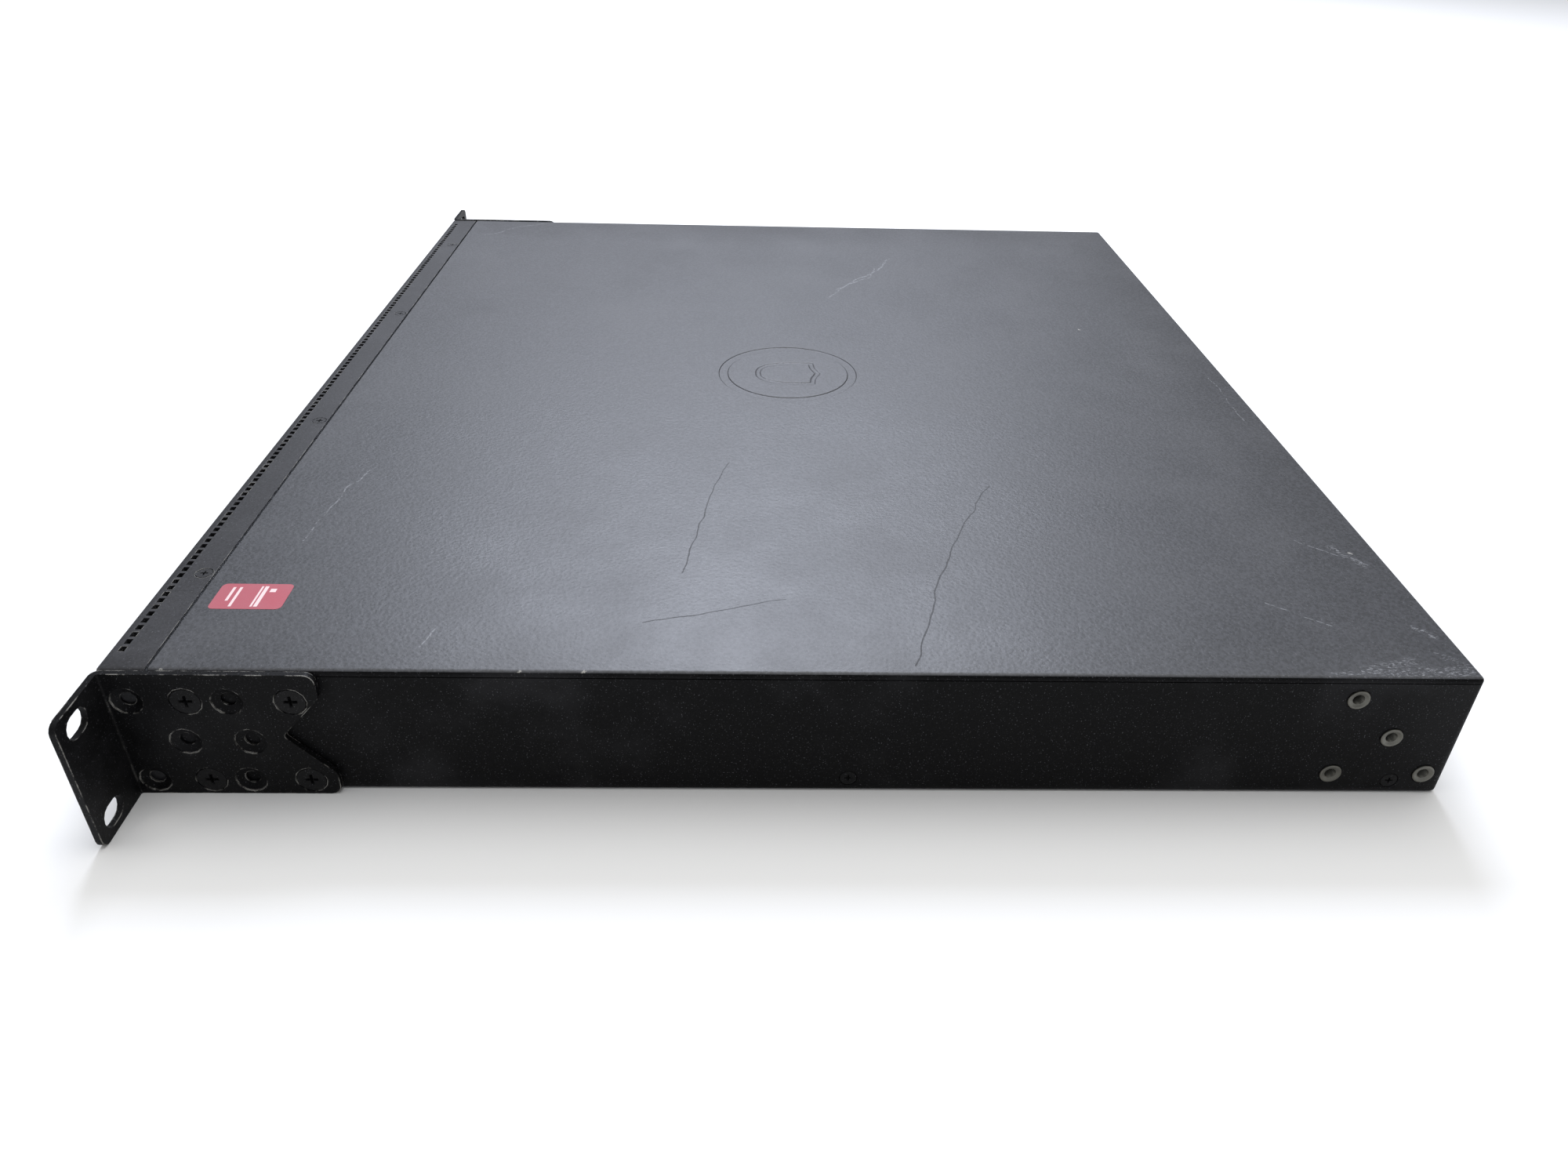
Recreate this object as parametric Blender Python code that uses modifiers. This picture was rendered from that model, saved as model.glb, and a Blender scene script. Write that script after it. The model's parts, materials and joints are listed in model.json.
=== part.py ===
"""Rack firewall appliance, one unit high: folded steel chassis, cover, front panel, two rack ears,
network boards and ports, two plug-in power supplies and three plug-in fan modules.

Metres, +Z up. The origin is the middle of the underside, the front faces -Y, and +X is the
right-hand side seen from the front.
"""

from math import ceil, cos, floor, pi, sin

import bmesh
import bpy
from mathutils import Matrix, Vector

# Chassis
CHASSIS_WIDTH = 0.434
CHASSIS_DEPTH = 0.385
CHASSIS_HEIGHT = 0.0435
SHEET = 0.0012  # steel of the chassis, cover and front panel
FOLD_RADIUS = 0.0015  # outside of a fold in that sheet, more than the sheet is thick
FOLD_STEPS = 3
GAP = 0.0003  # clearance between pieces that touch
COVER_LIP = 0.0018  # how far the cover's edges fold down
STRIP_DEPTH = 0.0135  # top return of the front panel
SEAM = 0.0009  # open line between that return and the cover
RAIL_BAR = 0.0015  # flat bar under the seam
RAIL_BAR_DEPTH = 0.014
EMBLEM_CENTRE = (0.0058, 0.0005)
EMBLEM_RADIUS = 0.0295  # pressed ring in the middle of the cover
EMBLEM_LINE = 0.0035
EMBLEM_PRESS = 0.0004

# Vents
VENT_PITCH = 0.00343
VENT_SLOT = 0.0023
TOP_VENT_LENGTH = 0.0018
TOP_VENT_SETBACK = 0.0037  # slot centres, back from the front face
VENT_MARGIN = 0.0075  # plain metal left at each end of the top row
FACE_VENT_HEIGHT = 0.022
FACE_VENT_PITCH = 2 * VENT_PITCH  # one upright vent under every two top vents
FACE_VENT_SLOT = 0.0036
FACE_VENT_MARGIN = 0.012  # plain metal left beside the upright vents

# Rack ears
EAR_SPAN = 0.4826
EAR_SHEET = 0.0018
EAR_LENGTH = 0.0595
EAR_FOLD = 0.0024  # outside radius of the ear's fold
EAR_NOTCH_DEPTH = 0.0125
EAR_NOTCH_HALF = 0.0137
EAR_CORNER = 0.003
RACK_HOLE_SPACING = 0.4651
RACK_HOLE_RISE = 0.03175
RACK_SLOT_WIDTH = 0.010
RACK_SLOT_HEIGHT = 0.0068
EAR_SCREW_SETS_BACK = (0.0231, 0.0516)
EAR_HOLE_SETS_BACK = (0.0072, 0.0344)
EAR_MIDDLE_SETS_BACK = (0.0196, 0.0376)
EAR_ROW_INSET = 0.0054  # lower row above the underside
EAR_UPPER_ROW_DROP = 0.0093

# Fasteners: head radius, head depth, shank radius, length
EAR_SCREW = (0.0042, 0.0013, 0.0019, 0.0055)
SMALL_SCREW = (0.0025, 0.0008, 0.0013, 0.0050)
STRIP_SCREW_X = (-0.1685, -0.0593, 0.0593, 0.1685)
STRIP_SCREW_SETBACK = 0.0032  # from the seam forward to the screw centres
SIDE_SCREWS_FROM_REAR = (0.0158, 0.1778)
SIDE_SCREW_HEIGHT = 0.005
RAIL_INSERT_RADIUS = 0.0033
RAIL_INSERT_BORE = 0.0017
RAIL_INSERT_CENTRE = (0.0204, 0.0218)  # from the rear face, above the underside
RAIL_INSERT_REACH = 0.014

# Ports, on one horizontal centre line of the front face
BOARD = 0.0016
BOARD_TOP = 0.0080
PORT_BLOCK_HEIGHT = 0.0285
PORT_SHELL = 0.0010
RJ45_WIDTH = 0.0121
RJ45_HEIGHT = 0.0092
RJ45_PITCH = 0.0140
RJ45_DEPTH = 0.0140
RJ45_BLOCK_DEPTH = 0.0240
SFP_WIDTH = 0.0140
SFP_HEIGHT = 0.0090
SFP_PITCH = 0.0155
SFP_DEPTH = 0.0440
SFP_BLOCK_DEPTH = 0.0480
USB_WIDTH = 0.0130
USB_HEIGHT = 0.0056
USB_PITCH = 0.0150
USB_DEPTH = 0.0130
USB_BLOCK_DEPTH = 0.0180
PORTS_LEFT = -0.0800
PORT_SPACING = 0.0090
LIGHT_COLUMN = 0.0120
RESET_X = PORTS_LEFT - PORT_SPACING
RESET_RADIUS = 0.0020
RESET_TRAVEL = 0.0010
LIGHT_RADIUS = 0.0014
LIGHT_PITCH = 0.0055
LIGHT_COUNT = 4
LIGHT_BAR = (0.006, 0.004)  # width, depth
LIGHT_PEG_ROOT = 0.001  # how far a peg stands in the bar behind it
RESET_FLANGE = 0.001
RESET_LENGTH = 0.006

# Boards
BOARD_SIDE_GAP = 0.006
BOARD_FRONT_GAP = 0.004
BOARD_REAR_GAP = 0.010
STANDOFF_RADIUS = 0.0025
STANDOFF_INSET = 0.008
STANDOFF_FRONT_INSET = 0.040  # the front ones stand behind the port blocks
BACKPLANE_GAP = 0.003
BACKPLANE_DROP = 0.002
# name, x, distance from the front, width, depth, height
HEATSINKS = (
    ("processor_heatsink", -0.060, 0.1325, 0.060, 0.060, 0.022),
    ("switch_heatsink", 0.070, 0.1075, 0.080, 0.056, 0.018),
)
FIN_PITCH = 0.005
FIN_GROOVE = 0.0034
HEATSINK_BASE = 0.004
CARD_INSET = 0.030  # from the board's left edge to both cards
# distance from the front, width, depth, height
MEMORY = (0.112, 0.068, 0.030, 0.004)
STORAGE = (0.157, 0.070, 0.035, 0.007)
BATTERY = (0.182, 0.010, 0.0032)  # distance from the front, radius, height

# Plug-in modules
MODULE_HEADROOM = 0.0014
MODULE_SIDE_CLEARANCE = 0.0005
MODULE_WALL = 0.0010
MODULE_SPACING = 0.0040  # rear wall left between two bays
SUPPLY_COUNT = 2
SUPPLY_DEPTH = 0.150
SUPPLY_WALL_GAP = 0.0080  # from the chassis side to the first supply
SUPPLY_EDGE = 0.0030  # face plate beside the inlet
GRIP_COLUMN = 0.0058  # face plate between the inlet and the fan
INLET_WIDTH = 0.0285
INLET_HEIGHT = 0.0220
INLET_DEPTH = 0.0200
INLET_WELL = (0.0245, 0.0166, 0.0160)
INLET_PIN = (0.0020, 0.0040)
INLET_PIN_PLACES = ((-0.007, -0.002), (0.007, -0.002), (0, 0.002))
INLET_PIN_INSET = 0.0030
MOTOR_SETBACK = 0.0040
SHROUD_SETBACK = 0.0005
# in a supply, from its middle and its inner end: left, right, near, far, height above the board
SUPPLY_COMPONENTS = (
    (-0.026, -0.001, 0.030, 0.062, 0.027),
    (0.006, 0.028, 0.020, 0.048, 0.024),
    (0.006, 0.026, 0.060, 0.100, 0.022),
)
SUPPLY_BOARD_INSET = 0.002
SUPPLY_BOARD_REAR_GAP = 0.012
SUPPLY_BOARD_RISE = 0.003
HANDLE_REACH = 0.0140
HANDLE_TUBE = 0.0015
HANDLE_RISE = 0.0060  # from the bottom of the face plate
HANDLE_HEIGHT = 0.0200
LATCH_SIZE = (0.0036, 0.0110, 0.0028)
LATCH_INSIDE = 0.0040
LATCH_TRAVEL = 0.0015
FAN_COUNT = 3
FAN_MODULE_DEPTH = 0.0440
FAN_SIDE_WALL = 0.0043
FAN_FLANGE = 0.0095  # how far its face plate covers the wall beside it
DUCT_RADIUS = 0.0167
ROTOR_HUB = 0.0070
ROTOR_DEPTH = 0.0100
BLADE = 0.0009
BLADE_COUNT = 7
BLADE_PITCH = 0.62
TIP_CLEARANCE = 0.0007
GRILLE = 0.0020  # wall that the motor sits on
SPOKE = 0.0020
THUMB_RADIUS = 0.0042
THUMB_LENGTH = 0.0055

# Worked out from the sizes above
ROTOR_RADIUS = DUCT_RADIUS - TIP_CLEARANCE
SUPPLY_WIDTH = SUPPLY_EDGE + INLET_WIDTH + GRIP_COLUMN + 2 * (DUCT_RADIUS + MODULE_WALL) + GAP
FAN_MODULE_WIDTH = 2 * (DUCT_RADIUS + FAN_SIDE_WALL)
FRONT, REAR = -CHASSIS_DEPTH / 2, CHASSIS_DEPTH / 2
SIDE = CHASSIS_WIDTH / 2
TOP = CHASSIS_HEIGHT
CENTRE_Z = BOARD_TOP + PORT_BLOCK_HEIGHT / 2
COVER_FRONT = FRONT + STRIP_DEPTH + SEAM
BASE_TOP = TOP - COVER_LIP - GAP
MODULE_LOW = SHEET + GAP
MODULE_HEIGHT = BASE_TOP - MODULE_LOW - MODULE_HEADROOM
MODULE_MIDDLE = MODULE_LOW + MODULE_HEIGHT / 2
STRIP_SCREW_Y = FRONT + STRIP_DEPTH - STRIP_SCREW_SETBACK
INSIDE_TOP = TOP - SHEET - GAP
SUPPLY_FIRST_X = SIDE - SHEET - SUPPLY_WALL_GAP - SUPPLY_WIDTH / 2
SUPPLY_PITCH = SUPPLY_WIDTH + MODULE_SPACING
SUPPLY_X = [SUPPLY_FIRST_X - i * SUPPLY_PITCH for i in range(SUPPLY_COUNT)]
FAN_FIRST_X = SUPPLY_X[-1] - SUPPLY_PITCH / 2 - FAN_MODULE_WIDTH / 2 - MODULE_SPACING
FAN_PITCH = FAN_MODULE_WIDTH + MODULE_SIDE_CLEARANCE + FAN_FLANGE + MODULE_SIDE_CLEARANCE
FAN_X = [FAN_FIRST_X - i * FAN_PITCH for i in range(FAN_COUNT)]
FANS_LEFT = FAN_X[-1] - FAN_PITCH + FAN_MODULE_WIDTH / 2
BEYOND = 0.004  # how far a cutter runs past a face
ROUNDING = 1e-6  # lets a whole number of pitches count as whole

FINISHES = {
    "powder_black": ((0.030, 0.030, 0.033), 0.55, 0.2),
    "zinc_steel": ((0.52, 0.52, 0.50), 0.38, 1.0),
    "black_screw": ((0.02, 0.02, 0.02), 0.45, 0.8),
    "port_shell": ((0.60, 0.60, 0.62), 0.30, 1.0),
    "black_plastic": ((0.015, 0.015, 0.016), 0.50, 0.0),
    "clear_plastic": ((0.80, 0.85, 0.80), 0.25, 0.0),
    "green_board": ((0.010, 0.110, 0.045), 0.45, 0.0),
    "aluminium": ((0.62, 0.63, 0.65), 0.35, 1.0),
    "latch_plastic": ((0.050, 0.220, 0.500), 0.45, 0.0),
    "battery_steel": ((0.70, 0.70, 0.68), 0.25, 1.0),
}

for leftover in list(bpy.data.objects):
    bpy.data.objects.remove(leftover)

PARTS = bpy.data.collections.new("rack_firewall_appliance")
CUTTERS = bpy.data.collections.new("cutters")
bpy.context.scene.collection.children.link(PARTS)
bpy.context.scene.collection.children.link(CUTTERS)


# --- shapes -------------------------------------------------------------------------------------


def facing(location, axis=(0, 0, 1)):
    """The matrix that puts a shape's origin at location and turns its +Z towards axis."""
    turn = Vector(axis).to_track_quat("Z", "Y").to_matrix().to_4x4()
    return Matrix.Translation(location) @ turn


def add_box(bm, low, high):
    low, high = Vector(low), Vector(high)
    place = Matrix.Translation((low + high) / 2) @ Matrix.Diagonal((*(high - low), 1))
    return bmesh.ops.create_cube(bm, size=1, matrix=place)["verts"]


def add_cylinder(bm, start, axis, radius, length, segments=16):
    middle = Vector(start) + Vector(axis).normalized() * length / 2
    bmesh.ops.create_cone(
        bm,
        cap_ends=True,
        segments=segments,
        radius1=radius,
        radius2=radius,
        depth=length,
        matrix=facing(middle, axis),
    )


def to_mesh(name, bm):
    mesh = bpy.data.meshes.new(name)
    bm.to_mesh(mesh)
    bm.free()
    return mesh


def boxes_mesh(name, boxes):
    bm = bmesh.new()
    for low, high in boxes:
        add_box(bm, low, high)
    return to_mesh(name, bm)


def evaluated_mesh(thing):
    """The finished mesh of a curve or of an object with modifiers, which is then removed."""
    bpy.context.scene.collection.objects.link(thing)
    bpy.context.view_layer.update()
    graph = bpy.context.evaluated_depsgraph_get()
    mesh = bpy.data.meshes.new_from_object(thing.evaluated_get(graph))
    bpy.data.objects.remove(thing)
    bm = bmesh.new()
    bm.from_mesh(mesh)
    bmesh.ops.remove_doubles(bm, verts=bm.verts, dist=1e-6)
    bm.to_mesh(mesh)
    bm.free()
    return mesh


def turned_mesh(name, profile, steps):
    """A profile of (radius, height) points, from the top down, turned about Z."""
    line = bpy.data.meshes.new(name)
    points = [(radius, 0, height) for radius, height in profile]
    line.from_pydata(points, [(i, i + 1) for i in range(len(points) - 1)], [])
    thing = bpy.data.objects.new(name, line)
    screw = thing.modifiers.new("Turn", "SCREW")
    screw.steps = screw.render_steps = steps
    screw.use_merge_vertices = True
    screw.merge_threshold = 1e-5
    mesh = evaluated_mesh(thing)
    mesh.shade_smooth()
    mesh.set_sharp_from_angle(angle=0.6)
    return mesh


def rounded(corners, steps=4):
    """The outline through (x, y, radius) corners, each rounded to its radius."""
    outline = []
    for i, (x, y, radius) in enumerate(corners):
        corner = Vector((x, y))
        back = Vector(corners[i - 1][:2]) - corner
        ahead = Vector(corners[(i + 1) % len(corners)][:2]) - corner
        if radius == 0:
            outline.append(corner)
            continue
        half = back.angle(ahead) / 2
        reach = radius * cos(half) / sin(half)
        centre = corner + (back.normalized() + ahead.normalized()).normalized() * radius / sin(half)
        first = corner + back.normalized() * reach - centre
        last = corner + ahead.normalized() * reach - centre
        sweep = first.angle(last) if first.cross(last) > 0 else -first.angle(last)
        for step in range(steps + 1):
            angle = sweep * step / steps
            x_arc = first.x * cos(angle) - first.y * sin(angle)
            y_arc = first.x * sin(angle) + first.y * cos(angle)
            outline.append(centre + Vector((x_arc, y_arc)))
    return outline


def outline_mesh(name, outline, thickness):
    """A flat outline in XY, extruded by its thickness about its own plane."""
    curve = bpy.data.curves.new(name, "CURVE")
    curve.dimensions = "2D"
    curve.fill_mode = "BOTH"
    curve.extrude = thickness / 2
    spline = curve.splines.new("POLY")
    spline.points.add(len(outline) - 1)
    for point, (x, y) in zip(spline.points, outline):
        point.co = (x, y, 0, 1)
    spline.use_cyclic_u = True
    return evaluated_mesh(bpy.data.objects.new(name, curve))


def folded_tray(name, low, high, open_faces, splits=()):
    """A box of folded sheet, without its open faces, whose walls lie inside the box.

    Each split, a point and a normal, adds a line of edges, which keeps the sheet's triangles short.
    """
    bm = bmesh.new()
    add_box(bm, low, high)
    bm.normal_update()
    gone = [f for f in bm.faces if any(f.normal.dot(Vector(n)) > 0.9 for n in open_faces)]
    bmesh.ops.delete(bm, geom=gone, context="FACES")
    folds = [edge for edge in bm.edges if not edge.is_boundary]
    bmesh.ops.bevel(
        bm,
        geom=folds,
        offset=FOLD_RADIUS,
        offset_type="OFFSET",
        segments=FOLD_STEPS,
        profile=0.5,
        affect="EDGES",
    )
    for point, normal in splits:
        whole = bm.verts[:] + bm.edges[:] + bm.faces[:]
        bmesh.ops.bisect_plane(bm, geom=whole, plane_co=point, plane_no=normal)
    return to_mesh(name, bm)


# --- objects ------------------------------------------------------------------------------------


def add_part(name, mesh, finish, origin=(0, 0, 0), place=None):
    """A sub-part. Its mesh is in world coordinates, or in its own with a place that it is put at."""
    color, roughness, metallic = FINISHES[finish]
    material = bpy.data.materials.new(name)
    material.use_nodes = True
    shader = material.node_tree.nodes["Principled BSDF"]
    shader.inputs["Base Color"].default_value = (*color, 1)
    shader.inputs["Roughness"].default_value = roughness
    shader.inputs["Metallic"].default_value = metallic
    if place is None:
        mesh.transform(Matrix.Translation(-Vector(origin)))
        place = Matrix.Translation(origin)
    mesh.materials.clear()
    mesh.materials.append(material)
    part = bpy.data.objects.new(name, mesh)
    part.matrix_world = place
    PARTS.objects.link(part)
    return part


def add_helper(part, label, mesh, operation):
    helper = bpy.data.objects.new(f"{part.name}_{label}", mesh)
    helper.hide_render = True
    helper.display_type = "WIRE"
    CUTTERS.objects.link(helper)
    boolean = part.modifiers.new(label, "BOOLEAN")
    boolean.operation = operation
    boolean.object = helper
    boolean.solver = "EXACT"
    return helper


def cut(part, label, mesh):
    return add_helper(part, label, mesh, "DIFFERENCE")


def fuse(part, label, mesh):
    return add_helper(part, label, mesh, "UNION")


def add_sheet_walls(part):
    walls = part.modifiers.new("Sheet", "SOLIDIFY")
    walls.thickness = SHEET
    walls.offset = -1
    walls.use_even_offset = True


def screw_profile(screw):
    head_radius, head_depth, shank_radius, length = screw
    rim = head_depth / 4
    return (
        (0, 0),
        (head_radius, 0),
        (head_radius, -rim),
        (shank_radius, -head_depth),
        (shank_radius, -length),
        (0, -length),
    )


def screw_hole_profile(screw, depth):
    """The seat of a countersunk screw, one clearance wider all round, open above the surface."""
    head_radius, head_depth, shank_radius, _ = screw
    return (
        (0, BEYOND / 4),
        (head_radius + GAP, BEYOND / 4),
        (head_radius + GAP, -head_depth / 4),
        (shank_radius + GAP, -head_depth),
        (shank_radius + GAP, -depth),
        (0, -depth),
    )


def turned_copies(name, profile, places, steps=14):
    """One mesh with a turned shape at each place, for cutting a group of holes."""
    shape = turned_mesh(name, profile, steps)
    bm = bmesh.new()
    for place in places:
        one = shape.copy()
        one.transform(place)
        bm.from_mesh(one)
        bpy.data.meshes.remove(one)
    return to_mesh(name, bm)


def slot_row(name, left, right, low_yz, high_yz, pitch=FACE_VENT_PITCH, slot=FACE_VENT_SLOT):
    """As many vent slots at one pitch as fit between left and right, centred there."""
    count = floor((right - left) / pitch + ROUNDING)
    first = (left + right - (count - 1) * pitch) / 2
    boxes = []
    for i in range(count):
        x = first + i * pitch
        boxes.append(((x - slot / 2, *low_yz), (x + slot / 2, *high_yz)))
    return boxes_mesh(name, boxes)


# --- ear and screw stations ---------------------------------------------------------------------


def ear_rows():
    """The heights of the ear's upper, middle and lower rows of holes."""
    upper, lower = TOP - EAR_UPPER_ROW_DROP, EAR_ROW_INSET
    return upper, (upper + lower) / 2, lower


def side_places(side, stations, distance):
    """Where screws or holes sit on one side of the chassis, pointing outwards."""
    return [facing((side * distance, y, z), (side, 0, 0)) for y, z in stations]


def ear_screw_stations():
    upper, _, lower = ear_rows()
    return [(FRONT + back, z) for z in (upper, lower) for back in EAR_SCREW_SETS_BACK]


def ear_hole_stations():
    upper, middle, lower = ear_rows()
    outer = [(FRONT + back, z) for z in (upper, lower) for back in EAR_HOLE_SETS_BACK]
    return outer + [(FRONT + back, middle) for back in EAR_MIDDLE_SETS_BACK]


def side_screw_stations():
    return [(REAR - back, SIDE_SCREW_HEIGHT) for back in SIDE_SCREWS_FROM_REAR]


def rail_insert_stations():
    back, z = RAIL_INSERT_CENTRE
    y = REAR - back
    reach = RAIL_INSERT_REACH
    return [(y, z), (y - reach, z + reach), (y - reach, z - reach), (y + reach, z - reach)]


# --- sheet metal --------------------------------------------------------------------------------


def bay_boxes():
    """The openings in the rear wall that the modules slide through."""
    boxes = []
    for xs, width in ((SUPPLY_X, SUPPLY_WIDTH), (FAN_X, FAN_MODULE_WIDTH)):
        half = width / 2 + MODULE_SIDE_CLEARANCE
        for x in xs:
            low = (x - half, REAR - SHEET - BEYOND, MODULE_LOW - GAP / 2)
            boxes.append((low, (x + half, REAR + BEYOND, BASE_TOP + BEYOND)))
    return boxes


def standoff_spots():
    """Board screws stand near the corners and the middle of the main board."""
    low, high = board_corners()
    xs = (low[0] + STANDOFF_INSET, 0, high[0] - STANDOFF_INSET)
    ys = (low[1] + STANDOFF_FRONT_INSET, high[1] - STANDOFF_INSET)
    return [(x, y) for x in xs for y in ys]


def build_base():
    low = (-SIDE, COVER_FRONT, 0)
    behind_ears = ((0, FRONT + EAR_LENGTH + EAR_CORNER, 0), (0, 1, 0))
    opened = ((0, 0, 1), (0, -1, 0))
    tray = folded_tray("chassis_base", low, (SIDE, REAR, BASE_TOP), opened, (behind_ears,))
    base = add_part("chassis_base", tray, "powder_black")
    add_sheet_walls(base)
    studs = bmesh.new()
    for x, y in standoff_spots():
        start = (x, y, SHEET / 2)
        rise = BOARD_TOP - BOARD - GAP - SHEET / 2
        add_cylinder(studs, start, (0, 0, 1), STANDOFF_RADIUS, rise, 8)
    fuse(base, "standoffs", to_mesh("standoffs", studs))
    cut(base, "bays", boxes_mesh("bays", bay_boxes()))
    left, right = -SIDE + FACE_VENT_MARGIN, FANS_LEFT - FACE_VENT_MARGIN
    low_yz = (REAR - SHEET - BEYOND, MODULE_MIDDLE - FACE_VENT_HEIGHT / 2)
    high_yz = (REAR + BEYOND, MODULE_MIDDLE + FACE_VENT_HEIGHT / 2)
    cut(base, "rear_vents", slot_row("rear_vents", left, right, low_yz, high_yz))
    thread_radius = EAR_SCREW[2] + GAP
    threads = bmesh.new()
    for side in (-1, 1):
        for y, z in ear_screw_stations():
            start = (side * (SIDE - SHEET - BEYOND), y, z)
            add_cylinder(threads, start, (side, 0, 0), thread_radius, SHEET + 2 * BEYOND, 8)
    cut(base, "ear_threads", to_mesh("ear_threads", threads))
    small_holes = screw_hole_profile(SMALL_SCREW, SMALL_SCREW[3] + GAP)
    places = [p for s in (-1, 1) for p in side_places(s, side_screw_stations(), SIDE)]
    cut(base, "side_screw_holes", turned_copies("side_screw_holes", small_holes, places, 10))
    insert = (RAIL_INSERT_RADIUS, SHEET / 2, RAIL_INSERT_BORE, 0)
    insert_holes = screw_hole_profile(insert, SHEET + BEYOND)
    places = [p for s in (-1, 1) for p in side_places(s, rail_insert_stations(), SIDE)]
    cut(base, "rail_inserts", turned_copies("rail_inserts", insert_holes, places, 8))
    holes = bmesh.new()
    for x, z in fan_thumb_spots():
        start = (x, REAR + BEYOND, z)
        add_cylinder(holes, start, (0, -1, 0), SMALL_SCREW[2] + GAP, SHEET + 2 * BEYOND, 8)
    cut(base, "thumb_threads", to_mesh("thumb_threads", holes))


def build_cover():
    low = (-SIDE, COVER_FRONT, TOP - COVER_LIP)
    cover = add_part(
        "top_cover",
        folded_tray("top_cover", low, (SIDE, REAR, TOP), ((0, 0, -1), (0, -1, 0))),
        "powder_black",
    )
    add_sheet_walls(cover)
    inner = EMBLEM_RADIUS - EMBLEM_LINE
    ring = (
        (inner, EMBLEM_PRESS),
        (EMBLEM_RADIUS, EMBLEM_PRESS),
        (EMBLEM_RADIUS, -EMBLEM_PRESS),
        (inner, -EMBLEM_PRESS),
        (inner, EMBLEM_PRESS),
    )
    mesh = turned_mesh("emblem_ring", ring, 40)
    mesh.transform(Matrix.Translation((*EMBLEM_CENTRE, TOP)))
    cut(cover, "emblem_ring", mesh)


def build_seam_rail():
    """The flat bar under the seam, which the strip screws thread into."""
    half = SIDE - SHEET - GAP
    low = (-half, STRIP_SCREW_Y - RAIL_BAR_DEPTH / 4, INSIDE_TOP - RAIL_BAR)
    high = (half, STRIP_SCREW_Y + RAIL_BAR_DEPTH * 3 / 4, INSIDE_TOP)
    rail = add_part("seam_rail", boxes_mesh("seam_rail", [(low, high)]), "zinc_steel")
    threads = bmesh.new()
    for x in STRIP_SCREW_X:
        start = (x, STRIP_SCREW_Y, INSIDE_TOP - RAIL_BAR - BEYOND)
        add_cylinder(threads, start, (0, 0, 1), SMALL_SCREW[2] + GAP, RAIL_BAR + 2 * BEYOND, 10)
    cut(rail, "threads", to_mesh("threads", threads))


def block_box(x, width, height, depth, grow=0.0):
    """A port block's corners: flush with the front face, standing on the main board."""
    low = (x - width / 2 - grow, FRONT - grow, CENTRE_Z - height / 2 - grow)
    return low, (x + width / 2 + grow, FRONT + depth, CENTRE_Z + height / 2 + grow)


def port_blocks():
    """From left to right: name, x, columns, pitch, well size (width, height, depth), block depth."""
    usb = (USB_WIDTH, USB_HEIGHT, USB_DEPTH)
    rj45 = (RJ45_WIDTH, RJ45_HEIGHT, RJ45_DEPTH)
    sfp = (SFP_WIDTH, SFP_HEIGHT, SFP_DEPTH)
    beside_lights = PORT_SPACING + LIGHT_COLUMN
    kinds = (  # name, space before it, columns, pitch, well, depth
        ("usb_ports", 0, 1, USB_PITCH, usb, USB_BLOCK_DEPTH),
        ("console_ports", PORT_SPACING, 1, RJ45_PITCH, rj45, RJ45_BLOCK_DEPTH),
        ("lan_ports", PORT_SPACING, 4, RJ45_PITCH, rj45, RJ45_BLOCK_DEPTH),
        ("sfp_cages", beside_lights, 2, SFP_PITCH, sfp, SFP_BLOCK_DEPTH),
    )
    blocks = []
    left = PORTS_LEFT
    for name, space, columns, pitch, well, block_depth in kinds:
        left += space
        width = columns * pitch + PORT_SHELL
        blocks.append((name, left + width / 2, columns, pitch, well, block_depth))
        left += width
    return blocks


def ports_right():
    _, x, columns, pitch, *_ = port_blocks()[-1]
    return x + (columns * pitch + PORT_SHELL) / 2


def light_spots():
    """Status lights stand in one column, just left of the last port block."""
    x = ports_right() - 2 * SFP_PITCH - PORT_SHELL - (LIGHT_COLUMN + PORT_SPACING) / 2
    first = CENTRE_Z - (LIGHT_COUNT - 1) * LIGHT_PITCH / 2
    return [(x, first + i * LIGHT_PITCH) for i in range(LIGHT_COUNT)]


def add_face_vents(panel, label, left, right):
    """Upright vents between left and right, each in the middle of one cell of the panel."""
    left = ceil(left / FACE_VENT_PITCH) * FACE_VENT_PITCH
    right = floor(right / FACE_VENT_PITCH) * FACE_VENT_PITCH
    low_yz = (FRONT - BEYOND, CENTRE_Z - FACE_VENT_HEIGHT / 2)
    high_yz = (FRONT + BEYOND, CENTRE_Z + FACE_VENT_HEIGHT / 2)
    cut(panel, label, slot_row(label, left, right, low_yz, high_yz))


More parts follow.
